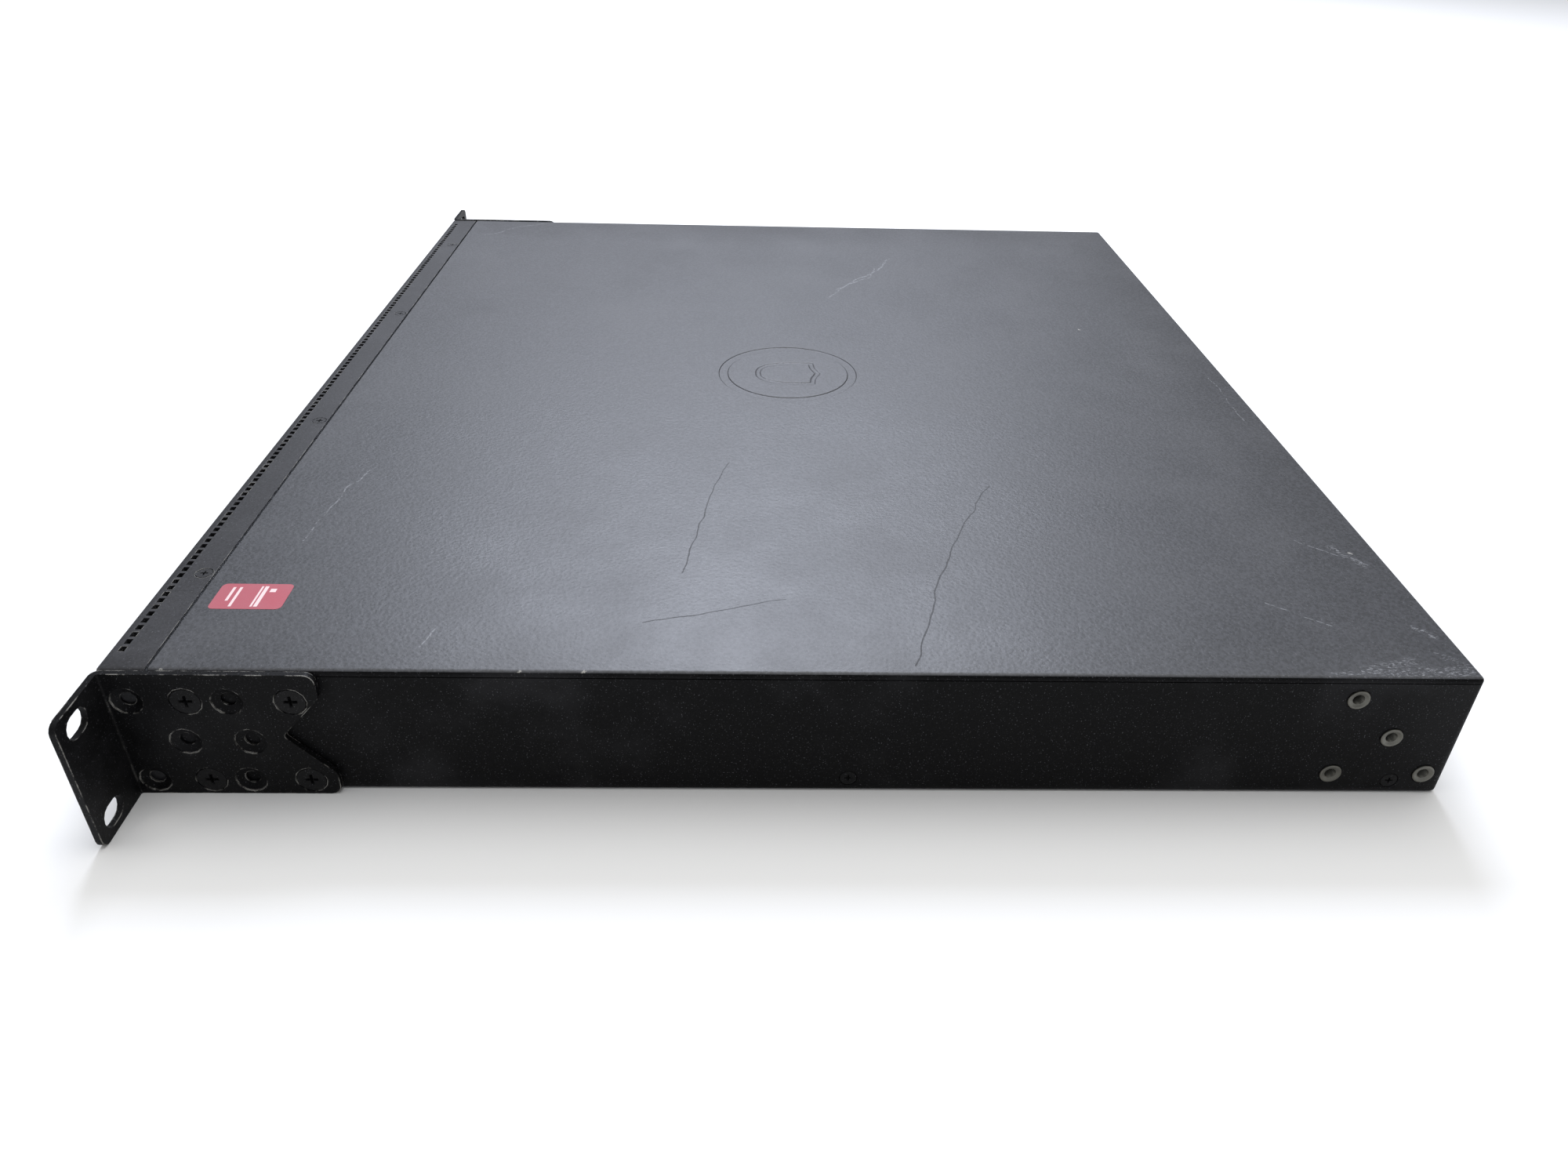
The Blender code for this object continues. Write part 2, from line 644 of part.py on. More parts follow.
def build_front_panel():
    low = (-SIDE, FRONT, 0)
    last_cell = floor((SIDE - FOLD_RADIUS) / FACE_VENT_PITCH)
    cells = range(-last_cell, last_cell + 1)
    lines = [((i * FACE_VENT_PITCH, 0, 0), (1, 0, 0)) for i in cells]
    high = (SIDE, FRONT + STRIP_DEPTH, TOP)
    tray = folded_tray("front_panel", low, high, ((0, 1, 0),), lines)
    panel = add_part("front_panel", tray, "powder_black")
    add_sheet_walls(panel)
    windows = []
    for _, x, columns, pitch, *_ in port_blocks():
        low, high = block_box(x, columns * pitch + PORT_SHELL, PORT_BLOCK_HEIGHT, STRIP_DEPTH, GAP)
        windows.append(((low[0], FRONT - BEYOND, low[2]), (high[0], FRONT + BEYOND, high[2])))
    cut(panel, "port_windows", boxes_mesh("port_windows", windows))
    vent_low = (FRONT + TOP_VENT_SETBACK - TOP_VENT_LENGTH / 2, TOP - SHEET - BEYOND)
    vent_high = (FRONT + TOP_VENT_SETBACK + TOP_VENT_LENGTH / 2, TOP + BEYOND)
    top_end = SIDE - VENT_MARGIN
    row = slot_row("top_vents", -top_end, top_end, vent_low, vent_high, VENT_PITCH, VENT_SLOT)
    cut(panel, "top_vents", row)
    end = SIDE - FACE_VENT_MARGIN
    add_face_vents(panel, "left_vents", -end, RESET_X - FACE_VENT_MARGIN)
    add_face_vents(panel, "right_vents", ports_right() + FACE_VENT_MARGIN, end)
    hole = screw_hole_profile(SMALL_SCREW, SHEET + BEYOND)
    places = [facing((x, STRIP_SCREW_Y, TOP)) for x in STRIP_SCREW_X]
    cut(panel, "strip_screw_holes", turned_copies("strip_screw_holes", hole, places, 10))
    small = bmesh.new()
    start = (RESET_X, FRONT - BEYOND, CENTRE_Z)
    add_cylinder(small, start, (0, 1, 0), RESET_RADIUS + GAP, SHEET + 2 * BEYOND, 12)
    for x, z in light_spots():
        add_cylinder(small, (x, FRONT - BEYOND, z), (0, 1, 0), LIGHT_RADIUS + GAP, SHEET + 2 * BEYOND, 10)
    cut(panel, "button_and_light_holes", to_mesh("button_and_light_holes", small))


def ear_mesh(name):
    """The right-hand ear before its holes: an L of sheet with rounded corners at its tip."""
    inner, outer = SIDE + GAP, SIDE + GAP + EAR_SHEET
    tip, back = EAR_SPAN / 2, FRONT + EAR_LENGTH
    inside_fold = EAR_FOLD - EAR_SHEET
    angle = rounded(
        (
            (inner, back, 0),
            (inner, FRONT, EAR_FOLD),
            (tip, FRONT, 0),
            (tip, FRONT + EAR_SHEET, 0),
            (outer, FRONT + EAR_SHEET, inside_fold),
            (outer, back, 0),
        )
    )
    bm = bmesh.new()
    bm.from_mesh(outline_mesh(name, angle, TOP))
    bmesh.ops.translate(bm, verts=bm.verts, vec=(0, 0, TOP / 2))
    corners = []
    for edge in bm.edges:
        along = edge.verts[1].co - edge.verts[0].co
        at_tip = all(tip - vert.co.x < GAP for vert in edge.verts)
        if at_tip and abs(along.y) > EAR_SHEET / 2:
            corners.append(edge)
    bmesh.ops.bevel(
        bm,
        geom=corners,
        offset=EAR_CORNER,
        offset_type="OFFSET",
        segments=4,
        profile=0.5,
        affect="EDGES",
    )
    return to_mesh(name, bm)


def ear_side_outline():
    """Seen along X: square at the front, with a V notch in the rear end and rounded lobes."""
    middle = TOP / 2
    back, notch = FRONT + EAR_LENGTH, FRONT + EAR_LENGTH - EAR_NOTCH_DEPTH
    low, high = middle - EAR_NOTCH_HALF, middle + EAR_NOTCH_HALF
    return rounded(
        (
            (FRONT - BEYOND, -BEYOND, 0),
            (back - EAR_CORNER * 2, -BEYOND, 0),
            (back - EAR_CORNER * 2, 0, 0),
            (back, 0, EAR_CORNER),
            (back, low, EAR_CORNER),
            (notch, middle, EAR_CORNER / 2),
            (back, high, EAR_CORNER),
            (back, TOP, EAR_CORNER),
            (back - EAR_CORNER * 2, TOP, 0),
            (back - EAR_CORNER * 2, TOP + BEYOND, 0),
            (FRONT - BEYOND, TOP + BEYOND, 0),
        )
    )


def rack_slot_mesh(name):
    """Two oblong slots through the flange, one above the other."""
    bm = bmesh.new()
    half_run = (RACK_SLOT_WIDTH - RACK_SLOT_HEIGHT) / 2
    radius = RACK_SLOT_HEIGHT / 2
    steps = 6
    outline = []
    for end in (1, -1):
        for step in range(steps + 1):
            angle = pi * (step / steps - 0.5)
            outline.append((end * (half_run + radius * cos(angle)), end * radius * sin(angle)))
    for rise in (-RACK_HOLE_RISE / 2, RACK_HOLE_RISE / 2):
        one = outline_mesh(name, outline, EAR_SHEET + 2 * BEYOND)
        centre = (RACK_HOLE_SPACING / 2, FRONT + EAR_SHEET / 2, TOP / 2 + rise)
        one.transform(facing(centre, (0, -1, 0)))
        bm.from_mesh(one)
        bpy.data.meshes.remove(one)
    return to_mesh(name, bm)


def build_ears():
    right = add_part("rack_ear_right", ear_mesh("rack_ear_right"), "powder_black")
    length = EAR_SPAN / 2 - SIDE + BEYOND
    side_prism = outline_mesh("side_outline", ear_side_outline(), 2 * length)
    turn = Matrix(((0, 0, 1, 0), (1, 0, 0, 0), (0, 1, 0, 0), (0, 0, 0, 1)))
    side_prism.transform(Matrix.Translation((SIDE + length / 2, 0, 0)) @ turn)
    add_helper(right, "side_outline", side_prism, "INTERSECT")
    surface = SIDE + GAP + EAR_SHEET
    stations = ear_screw_stations() + ear_hole_stations()
    hole = screw_hole_profile(EAR_SCREW, EAR_SHEET + BEYOND / 8)
    places = side_places(1, stations, surface)
    cut(right, "screw_holes", turned_copies("screw_holes", hole, places, 12))
    cut(right, "rack_slots", rack_slot_mesh("rack_slots"))
    bpy.context.view_layer.update()
    graph = bpy.context.evaluated_depsgraph_get()
    mirrored = bpy.data.meshes.new_from_object(right.evaluated_get(graph))
    mirrored.transform(Matrix.Scale(-1, 4, (1, 0, 0)))
    mirrored.flip_normals()
    add_part("rack_ear_left", mirrored, "powder_black")


def build_screws():
    surface = SIDE + GAP + EAR_SHEET
    ear = turned_mesh("ear_screw", screw_profile(EAR_SCREW), 12)
    small = turned_mesh("small_screw", screw_profile(SMALL_SCREW), 10)
    groups = [("strip_screw", small, [facing((x, STRIP_SCREW_Y, TOP)) for x in STRIP_SCREW_X])]
    for side, word in ((1, "right"), (-1, "left")):
        groups.append((f"ear_screw_{word}", ear, side_places(side, ear_screw_stations(), surface)))
        groups.append((f"side_screw_{word}", small, side_places(side, side_screw_stations(), SIDE)))
    for word, shape, places in groups:
        for i, place in enumerate(places, 1):
            add_part(f"{word}_{i}", shape.copy(), "black_screw", place=place)


# --- boards and ports ---------------------------------------------------------------------------


def board_corners():
    half = SIDE - SHEET - BOARD_SIDE_GAP
    low = (-half, FRONT + SHEET + BOARD_FRONT_GAP, BOARD_TOP - BOARD)
    return low, (half, REAR - SUPPLY_DEPTH - BOARD_REAR_GAP, BOARD_TOP)


def build_ports():
    for name, x, columns, pitch, (width, height, depth), block_depth in port_blocks():
        low, high = block_box(x, columns * pitch + PORT_SHELL, PORT_BLOCK_HEIGHT, block_depth)
        low = (low[0], low[1], low[2] + GAP)
        block = add_part(name, boxes_mesh(name, [(low, high)]), "port_shell")
        rise = PORT_BLOCK_HEIGHT / 4
        wells = []
        for column in range(columns):
            middle = x + (column - (columns - 1) / 2) * pitch
            for z in (CENTRE_Z - rise, CENTRE_Z + rise):
                corner = (middle - width / 2, FRONT - BEYOND, z - height / 2)
                wells.append((corner, (middle + width / 2, FRONT + depth, z + height / 2)))
        cut(block, "wells", boxes_mesh("wells", wells))


def build_lights_and_button():
    bar_front = FRONT + SHEET + GAP
    light_x = light_spots()[0][0]
    width, depth = LIGHT_BAR
    low = (light_x - width / 2, bar_front, BOARD_TOP + GAP)
    high = (light_x + width / 2, bar_front + depth, CENTRE_Z + PORT_BLOCK_HEIGHT / 2)
    lights = add_part("status_lights", boxes_mesh("status_lights", [(low, high)]), "clear_plastic")
    pegs = bmesh.new()
    for x, z in light_spots():
        length = SHEET + GAP + LIGHT_PEG_ROOT
        add_cylinder(pegs, (x, FRONT, z), (0, 1, 0), LIGHT_RADIUS, length, 10)
    fuse(lights, "pegs", to_mesh("pegs", pegs))
    cap_start = FRONT - RESET_TRAVEL
    collar = -RESET_TRAVEL - SHEET - GAP
    profile = (
        (0, 0),
        (RESET_RADIUS, 0),
        (RESET_RADIUS, collar),
        (RESET_RADIUS + RESET_FLANGE, collar),
        (RESET_RADIUS + RESET_FLANGE, -RESET_LENGTH),
        (0, -RESET_LENGTH),
    )
    place = facing((RESET_X, cap_start, CENTRE_Z), (0, -1, 0))
    add_part("reset_button", turned_mesh("reset_button", profile, 16), "black_plastic", place=place)


def build_boards():
    low, high = board_corners()
    add_part("main_board", boxes_mesh("main_board", [(low, high)]), "green_board")
    back = REAR - SUPPLY_DEPTH - BACKPLANE_GAP
    half = SUPPLY_WIDTH / 2
    low = (SUPPLY_X[-1] - half, back - BOARD, BOARD_TOP + GAP)
    high = (SUPPLY_X[0] + half, back, MODULE_LOW + MODULE_HEIGHT - BACKPLANE_DROP)
    add_part("power_backplane", boxes_mesh("power_backplane", [(low, high)]), "green_board")
    for name, x, back, width, depth, height in HEATSINKS:
        y = FRONT + back
        corner = (x - width / 2, y - depth / 2, BOARD_TOP + GAP)
        top = BOARD_TOP + GAP + height
        block = boxes_mesh(name, [(corner, (x + width / 2, y + depth / 2, top))])
        sink = add_part(name, block, "aluminium")
        count = int(width / FIN_PITCH) - 1
        grooves = []
        for i in range(count):
            middle = x + (i - (count - 1) / 2) * FIN_PITCH
            low = (middle - FIN_GROOVE / 2, y - depth / 2 - BEYOND, corner[2] + HEATSINK_BASE)
            high = (middle + FIN_GROOVE / 2, y + depth / 2 + BEYOND, top + BEYOND)
            grooves.append((low, high))
        cut(sink, "grooves", boxes_mesh("grooves", grooves))
    base = BOARD_TOP + GAP
    left = board_corners()[0][0] + CARD_INSET
    cards = (("memory_module", MEMORY, "green_board"), ("storage_module", STORAGE, "zinc_steel"))
    for name, (near, width, depth, height), finish in cards:
        low = (left, FRONT + near, base)
        high = (left + width, FRONT + near + depth, base + height)
        add_part(name, boxes_mesh(name, [(low, high)]), finish)
    near, radius, height = BATTERY
    cell = bmesh.new()
    add_cylinder(cell, (0, FRONT + near, base), (0, 0, 1), radius, height, 24)
    add_part("clock_battery", to_mesh("clock_battery", cell), "battery_steel")


# --- plug-in modules ----------------------------------------------------------------------------


def rotor_mesh(name):
    """Hub and axis only; the blades are fused on."""
    profile = ((0, 0), (ROTOR_HUB, 0), (ROTOR_HUB, -ROTOR_DEPTH), (0, -ROTOR_DEPTH))
    return turned_mesh(name, profile, 14)


def blades_mesh(name):
    """Flat blades, pitched about their own length and set round the hub."""
    bm = bmesh.new()
    chord = ROTOR_DEPTH * 0.85
    for i in range(BLADE_COUNT):
        verts = add_box(
            bm,
            (ROTOR_HUB - BLADE, -BLADE / 2, -chord / 2),
            (ROTOR_RADIUS, BLADE / 2, chord / 2),
        )
        place = Matrix.Rotation(2 * pi * i / BLADE_COUNT, 4, "Z")
        place = Matrix.Translation((0, 0, -ROTOR_DEPTH / 2)) @ place
        place = place @ Matrix.Rotation(BLADE_PITCH, 4, "X")
        bmesh.ops.transform(bm, matrix=place, verts=verts)
    return to_mesh(name, bm)


def add_rotor(name, centre):
    """A fan rotor whose rear face is at the centre given, turning about Y."""
    place = facing(centre, (0, 1, 0))
    rotor = add_part(name, rotor_mesh(name), "black_plastic", place=place)
    helper = fuse(rotor, "blades", blades_mesh(f"{name}_blades"))
    helper.matrix_world = place


def cut_fan_bore(part, x, z, inner_y, outer_y):
    """The duct from the inside up to the grille, and the grille's four windows round the motor."""
    radius = DUCT_RADIUS
    duct = bmesh.new()
    add_cylinder(duct, (x, inner_y, z), (0, 1, 0), radius, outer_y - GRILLE - inner_y, 20)
    cut(part, "fan_duct", to_mesh("fan_duct", duct))
    ring = (
        (ROTOR_HUB, GRILLE + BEYOND),
        (radius - GRILLE / 2, GRILLE + BEYOND),
        (radius - GRILLE / 2, -GRILLE - BEYOND),
        (ROTOR_HUB, -GRILLE - BEYOND),
        (ROTOR_HUB, GRILLE + BEYOND),
    )
    windows = turned_mesh("grille_windows", ring, 20)
    windows.transform(facing((x, outer_y - GRILLE / 2, z), (0, 1, 0)))
    helper = cut(part, "grille_windows", windows)
    reach = radius + BEYOND
    deep = GRILLE + 2 * BEYOND
    spokes = boxes_mesh(
        "spokes",
        [((x - reach, outer_y - deep, z - SPOKE / 2), (x + reach, outer_y + deep, z + SPOKE / 2))],
    )
    add_helper(helper, "spokes", spokes, "DIFFERENCE")
    uprights = boxes_mesh(
        "uprights",
        [((x - SPOKE / 2, outer_y - deep, z - reach), (x + SPOKE / 2, outer_y + deep, z + reach))],
    )
    add_helper(helper, "uprights", uprights, "DIFFERENCE")


def build_supply(number, x):
    name = f"power_supply_{number}"
    half = SUPPLY_WIDTH / 2
    low = (x - half, REAR - SUPPLY_DEPTH, MODULE_LOW)
    high = (x + half, REAR, MODULE_LOW + MODULE_HEIGHT)
    bm = bmesh.new()
    add_box(bm, low, high)
    bm.normal_update()
    inner_end = [face for face in bm.faces if face.normal.y < -0.9]
    bmesh.ops.delete(bm, geom=inner_end, context="FACES")
    housing = add_part(f"{name}_housing", to_mesh(f"{name}_housing", bm), "zinc_steel", (x, REAR, 0))
    walls = housing.modifiers.new("Sheet", "SOLIDIFY")
    walls.thickness = MODULE_WALL
    walls.offset = -1
    z = MODULE_MIDDLE
    inlet_x = x - half + SUPPLY_EDGE + INLET_WIDTH / 2
    grip_x = inlet_x + INLET_WIDTH / 2 + GRIP_COLUMN / 2
    fan_x = grip_x + GRIP_COLUMN / 2 + DUCT_RADIUS + MODULE_WALL
    motor = bmesh.new()
    radius = DUCT_RADIUS + MODULE_WALL
    shroud_start = REAR - ROTOR_DEPTH - MOTOR_SETBACK
    length = ROTOR_DEPTH + MOTOR_SETBACK - SHROUD_SETBACK
    add_cylinder(motor, (fan_x, shroud_start, z), (0, 1, 0), radius, length, 20)
    fuse(housing, "fan_shroud", to_mesh("fan_shroud", motor))
    cut_fan_bore(housing, fan_x, z, shroud_start - BEYOND, REAR)
    latch_width, latch_depth, latch_height = LATCH_SIZE
    handle_low = MODULE_LOW + HANDLE_RISE
    latch_z = handle_low + HANDLE_HEIGHT + LATCH_TRAVEL + GAP + HANDLE_TUBE / 2
    openings = [
        (
            (inlet_x - INLET_WIDTH / 2 - GAP, REAR - BEYOND, z - INLET_HEIGHT / 2 - GAP),
            (inlet_x + INLET_WIDTH / 2 + GAP, REAR + BEYOND, z + INLET_HEIGHT / 2 + GAP),
        )
    ]
    half_latch = latch_width / 2
    slot_low = (grip_x - half_latch - GAP, REAR - BEYOND, latch_z - LATCH_TRAVEL - GAP)
    slot_high = (grip_x + half_latch + GAP, REAR + BEYOND, latch_z + latch_height + GAP)
    cut(housing, "inlet_window", boxes_mesh("inlet_window", openings))
    cut(housing, "latch_slot", boxes_mesh("latch_slot", [(slot_low, slot_high)]))

    body = ((inlet_x - INLET_WIDTH / 2, REAR - INLET_DEPTH, z - INLET_HEIGHT / 2),)
    body += ((inlet_x + INLET_WIDTH / 2, REAR + MODULE_WALL, z + INLET_HEIGHT / 2),)
    inlet = add_part(f"{name}_inlet", boxes_mesh(f"{name}_inlet", [body]), "black_plastic")
    well_width, well_height, well_depth = INLET_WELL
    well = (
        (inlet_x - well_width / 2, REAR + MODULE_WALL - well_depth, z - well_height / 2),
        (inlet_x + well_width / 2, REAR + BEYOND, z + well_height / 2),
    )
    cut(inlet, "well", boxes_mesh("well", [well]))
    pins = []
    pin_width, pin_height = INLET_PIN
    for dx, dz in INLET_PIN_PLACES:
        left, right = inlet_x + dx - pin_width / 2, inlet_x + dx + pin_width / 2
        bottom, top = z + dz - pin_height / 2, z + dz + pin_height / 2
        root = REAR - well_depth - MODULE_WALL
        pins.append(((left, root, bottom), (right, REAR - INLET_PIN_INSET, top)))
    fuse(inlet, "pins", boxes_mesh("pins", pins))

    latch_low = (grip_x - half_latch, REAR - LATCH_INSIDE, latch_z)
    latch_high = (grip_x + half_latch, REAR - LATCH_INSIDE + latch_depth, latch_z + latch_height)
    latch_boxes = boxes_mesh(f"{name}_latch", [(latch_low, latch_high)])
    add_part(f"{name}_latch", latch_boxes, "latch_plastic", (grip_x, REAR, latch_z))

    add_handle(f"{name}_handle", grip_x, handle_low)
    add_rotor(f"{name}_rotor", (fan_x, REAR - GRILLE - GAP, z))
    add_power_board(f"{name}_board", x)


def add_handle(name, x, bottom):
    """A wire bail on the face plate: out, up and back in, with rounded corners."""
    face = REAR + GAP
    low, high = bottom + HANDLE_TUBE, bottom + HANDLE_HEIGHT - HANDLE_TUBE
    outer = REAR + HANDLE_REACH - HANDLE_TUBE
    bend = 3 * HANDLE_TUBE
    path = rounded(((face, low, 0), (outer, low, bend), (outer, high, bend), (face, high, 0)))
    curve = bpy.data.curves.new(name, "CURVE")
    curve.dimensions = "3D"
    curve.bevel_depth = HANDLE_TUBE
    curve.bevel_resolution = 2
    curve.use_fill_caps = True
    spline = curve.splines.new("POLY")
    spline.points.add(len(path) - 1)
    for point, (y, z) in zip(spline.points, path):
        point.co = (x, y, z, 1)
    add_part(name, evaluated_mesh(bpy.data.objects.new(name, curve)), "zinc_steel")


def add_power_board(name, x):
    """The supply's own board with its transformer and capacitors."""
    half = SUPPLY_WIDTH / 2 - MODULE_WALL - GAP
    low_y = REAR - SUPPLY_DEPTH + SUPPLY_BOARD_INSET
    high_y = REAR - INLET_DEPTH - SUPPLY_BOARD_REAR_GAP
    bottom = MODULE_LOW + MODULE_WALL + SUPPLY_BOARD_RISE
    plate = [((x - half, low_y, bottom), (x + half, high_y, bottom + BOARD))]
    board = add_part(name, boxes_mesh(name, plate), "green_board")
    sunk = bottom + BOARD / 2
    parts = []
    for left, right, near, far, height in SUPPLY_COMPONENTS:
        parts.append(((x + left, low_y + near, sunk), (x + right, low_y + far, sunk + height)))
    fuse(board, "components", boxes_mesh("components", parts))


def fan_thumb_spots():
    """Thumbscrews, in the wall that each fan module's flange covers."""
    reach = FAN_MODULE_WIDTH / 2 + MODULE_SIDE_CLEARANCE + FAN_FLANGE / 2
    return [(x - reach, MODULE_MIDDLE) for x in FAN_X]


def build_fan_module(number, x):
    name = f"fan_module_{number}"
    half = FAN_MODULE_WIDTH / 2
    z = MODULE_MIDDLE
    plate_back = REAR + GAP
    outer = plate_back + SHEET
    low = (x - half, REAR - FAN_MODULE_DEPTH, MODULE_LOW)
    body = boxes_mesh(f"{name}_frame", [(low, (x + half, outer - SHEET / 2, MODULE_LOW + MODULE_HEIGHT))])
    frame = add_part(f"{name}_frame", body, "black_plastic", (x, REAR, z))
    left = x - half - MODULE_SIDE_CLEARANCE - FAN_FLANGE
    plate = ((left, plate_back, MODULE_LOW), (x + half, outer, MODULE_LOW + MODULE_HEIGHT))
    fuse(frame, "face_plate", boxes_mesh("face_plate", [plate]))
    cut_fan_bore(frame, x, z, REAR - FAN_MODULE_DEPTH - BEYOND, outer)
    thumb_x, thumb_z = fan_thumb_spots()[number - 1]
    hole = bmesh.new()
    shank = SMALL_SCREW[2]
    start = (thumb_x, plate_back - BEYOND / 8, thumb_z)
    add_cylinder(hole, start, (0, 1, 0), shank + GAP, SHEET + BEYOND, 10)
    cut(frame, "thumb_hole", to_mesh("thumb_hole", hole))
    add_rotor(f"{name}_rotor", (x, outer - GRILLE - GAP, z))
    profile = (
        (0, THUMB_LENGTH),
        (THUMB_RADIUS, THUMB_LENGTH),
        (THUMB_RADIUS, GAP),
        (shank, GAP),
        (shank, -SHEET - 2 * GAP - SHEET),
        (0, -SHEET - 2 * GAP - SHEET),
    )
    place = facing((thumb_x, outer, thumb_z), (0, 1, 0))
    thumb = turned_mesh(f"{name}_thumbscrew", profile, 14)
    add_part(f"{name}_thumbscrew", thumb, "zinc_steel", place=place)


build_base()
build_cover()
build_seam_rail()
build_front_panel()
build_ears()
build_screws()
build_ports()
build_lights_and_button()
build_boards()
for index, supply_x in enumerate(SUPPLY_X, 1):
    build_supply(index, supply_x)
for index, fan_x in enumerate(FAN_X, 1):
    build_fan_module(index, fan_x)
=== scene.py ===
import json
from functools import partial
from math import cos, pi, radians, sin

import bmesh
import bpy
import numpy as np
from mathutils import Matrix, Vector

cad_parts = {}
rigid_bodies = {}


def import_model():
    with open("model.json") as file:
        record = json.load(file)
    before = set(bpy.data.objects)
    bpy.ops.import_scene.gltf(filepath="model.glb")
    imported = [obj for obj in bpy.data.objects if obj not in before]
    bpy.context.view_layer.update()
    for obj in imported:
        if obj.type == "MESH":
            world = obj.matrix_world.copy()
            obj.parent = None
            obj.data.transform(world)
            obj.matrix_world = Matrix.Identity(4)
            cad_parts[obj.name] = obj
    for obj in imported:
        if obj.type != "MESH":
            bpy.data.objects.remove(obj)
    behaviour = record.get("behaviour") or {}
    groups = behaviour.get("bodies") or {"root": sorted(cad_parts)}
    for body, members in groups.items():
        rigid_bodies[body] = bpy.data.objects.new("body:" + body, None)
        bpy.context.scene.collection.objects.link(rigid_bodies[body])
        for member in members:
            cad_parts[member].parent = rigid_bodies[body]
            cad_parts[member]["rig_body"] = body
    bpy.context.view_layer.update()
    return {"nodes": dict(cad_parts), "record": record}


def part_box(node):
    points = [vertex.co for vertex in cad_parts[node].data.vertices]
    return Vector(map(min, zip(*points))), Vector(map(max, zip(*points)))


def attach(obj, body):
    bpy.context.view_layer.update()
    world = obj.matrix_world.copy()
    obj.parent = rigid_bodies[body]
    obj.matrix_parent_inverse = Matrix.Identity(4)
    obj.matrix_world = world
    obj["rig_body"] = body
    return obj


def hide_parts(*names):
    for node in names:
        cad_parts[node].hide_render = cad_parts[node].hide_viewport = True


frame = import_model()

cadNodes = frame["nodes"]
bodyOf = {name: node["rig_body"] for name, node in cadNodes.items()}
joints = {joint["name"]: joint for joint in frame["record"]["behaviour"]["joints"]}
sockets = {space["name"]: space["box_m"] for space in frame["record"]["physics"]["openings"]}
mm = 0.001
print("frame loaded,", len(cadNodes), "nodes")

# camera, floor and lights
cameraSetup = {
    "place": (0.46329, -0.01427, 0.23508),
    "yaw": -0.03444,  # turned from straight along -X
    "pitch": 0.58456,  # looking down
    "roll": 0.02806,
    "lens": 25.93,  # mm, on a sensor 36 mm wide
}
studio = {
    "floor": "#f1f1f0",
    "floorSize": 14.0,
    "worldTone": "#f4f6fa",
    "worldStrength": 0.36,
}
softLights = [
    # name, place, aim, width, height, watts, tone
    ("far_softbox", (-1.75, -0.06, 1.78), (0.0, 0.0, 0.04), 1.3, 0.8, 54.0, "#eaf0ff"),
    ("ceiling_softbox", (-0.3, 0.2, 2.4), (0.0, 0.0, 0.0), 2.6, 2.6, 46.0, "#ffffff"),
    ("front_fill", (0.4, -2.4, 0.9), (0.0, 0.0, 0.02), 1.6, 0.9, 9.0, "#fff8f0"),
    ("rear_fill", (0.2, 2.6, 1.0), (0.0, 0.0, 0.02), 1.6, 0.9, 9.0, "#fff8f0"),
]


def linearTone(hexCode):  # sRGB hex to a linear colour
    channels = [int(hexCode[i:i + 2], 16) / 255 for i in (1, 3, 5)]
    return (*[c / 12.92 if c <= 0.04045 else ((c + 0.055) / 1.055) ** 2.4 for c in channels], 1.0)


def addNode(tree, kind, settings=None, inputs=None, out=0):
    # settings: node properties; inputs: a tuple in socket order, or socket names or numbers to
    # values (a number, a hex colour or another node's socket); gives back the socket named by out
    node = tree.nodes.new("ShaderNode" + kind)
    for key, value in (settings or {}).items():
        setattr(node, key, value)
    pairs = inputs.items() if isinstance(inputs, dict) else enumerate(inputs or ())
    for key, value in pairs:
        socket = node.inputs[key]
        if isinstance(value, bpy.types.NodeSocket):
            tree.links.new(value, socket)
        else:
            socket.default_value = linearTone(value) if isinstance(value, str) else value
    return node.outputs[out] if len(node.outputs) else None


def newMaterial(name, noises=()):
    # noises: size in mm, detail and roughness of each
    material = bpy.data.materials.new(name)
    material.use_nodes = True
    material.node_tree.nodes.clear()
    add = partial(addNode, material.node_tree)
    where = add("TexCoord", out="Object")
    return material, add, where, [add("TexNoise", None, {
        "Vector": where, "Scale": 1 / (size * mm), "Detail": detail, "Roughness": rough})
        for size, detail, rough in noises]


def finishMaterial(material, settings, height=None, depth=0.0, strength=1.0):  # depth of bump in mm
    add = partial(addNode, material.node_tree)
    if height is not None:
        settings["Normal"] = add("Bump", None, {
            "Strength": strength, "Distance": depth * mm, "Height": height})
    add("OutputMaterial", None, (add("BsdfPrincipled", None, settings),))
    return material


def setCamera():
    yaw, pitch, roll = (cameraSetup[key] for key in ("yaw", "pitch", "roll"))
    ahead = Vector((-cos(yaw) * cos(pitch), -sin(yaw) * cos(pitch), -sin(pitch)))
    right = ahead.cross(Vector((0, 0, 1))).normalized()
    up = right.cross(ahead)
    turn = Matrix((
        cos(roll) * right + sin(roll) * up,
        -sin(roll) * right + cos(roll) * up,
        -ahead,
    )).transposed().to_4x4()
    data = bpy.data.cameras.new("view")
    data.sensor_width = 36.0
    data.lens = cameraSetup["lens"]
    data.clip_start = 0.01
    camera = bpy.data.objects.new("view", data)
    camera.matrix_world = Matrix.Translation(cameraSetup["place"]) @ turn
    bpy.context.scene.collection.objects.link(camera)
    bpy.context.scene.camera = camera


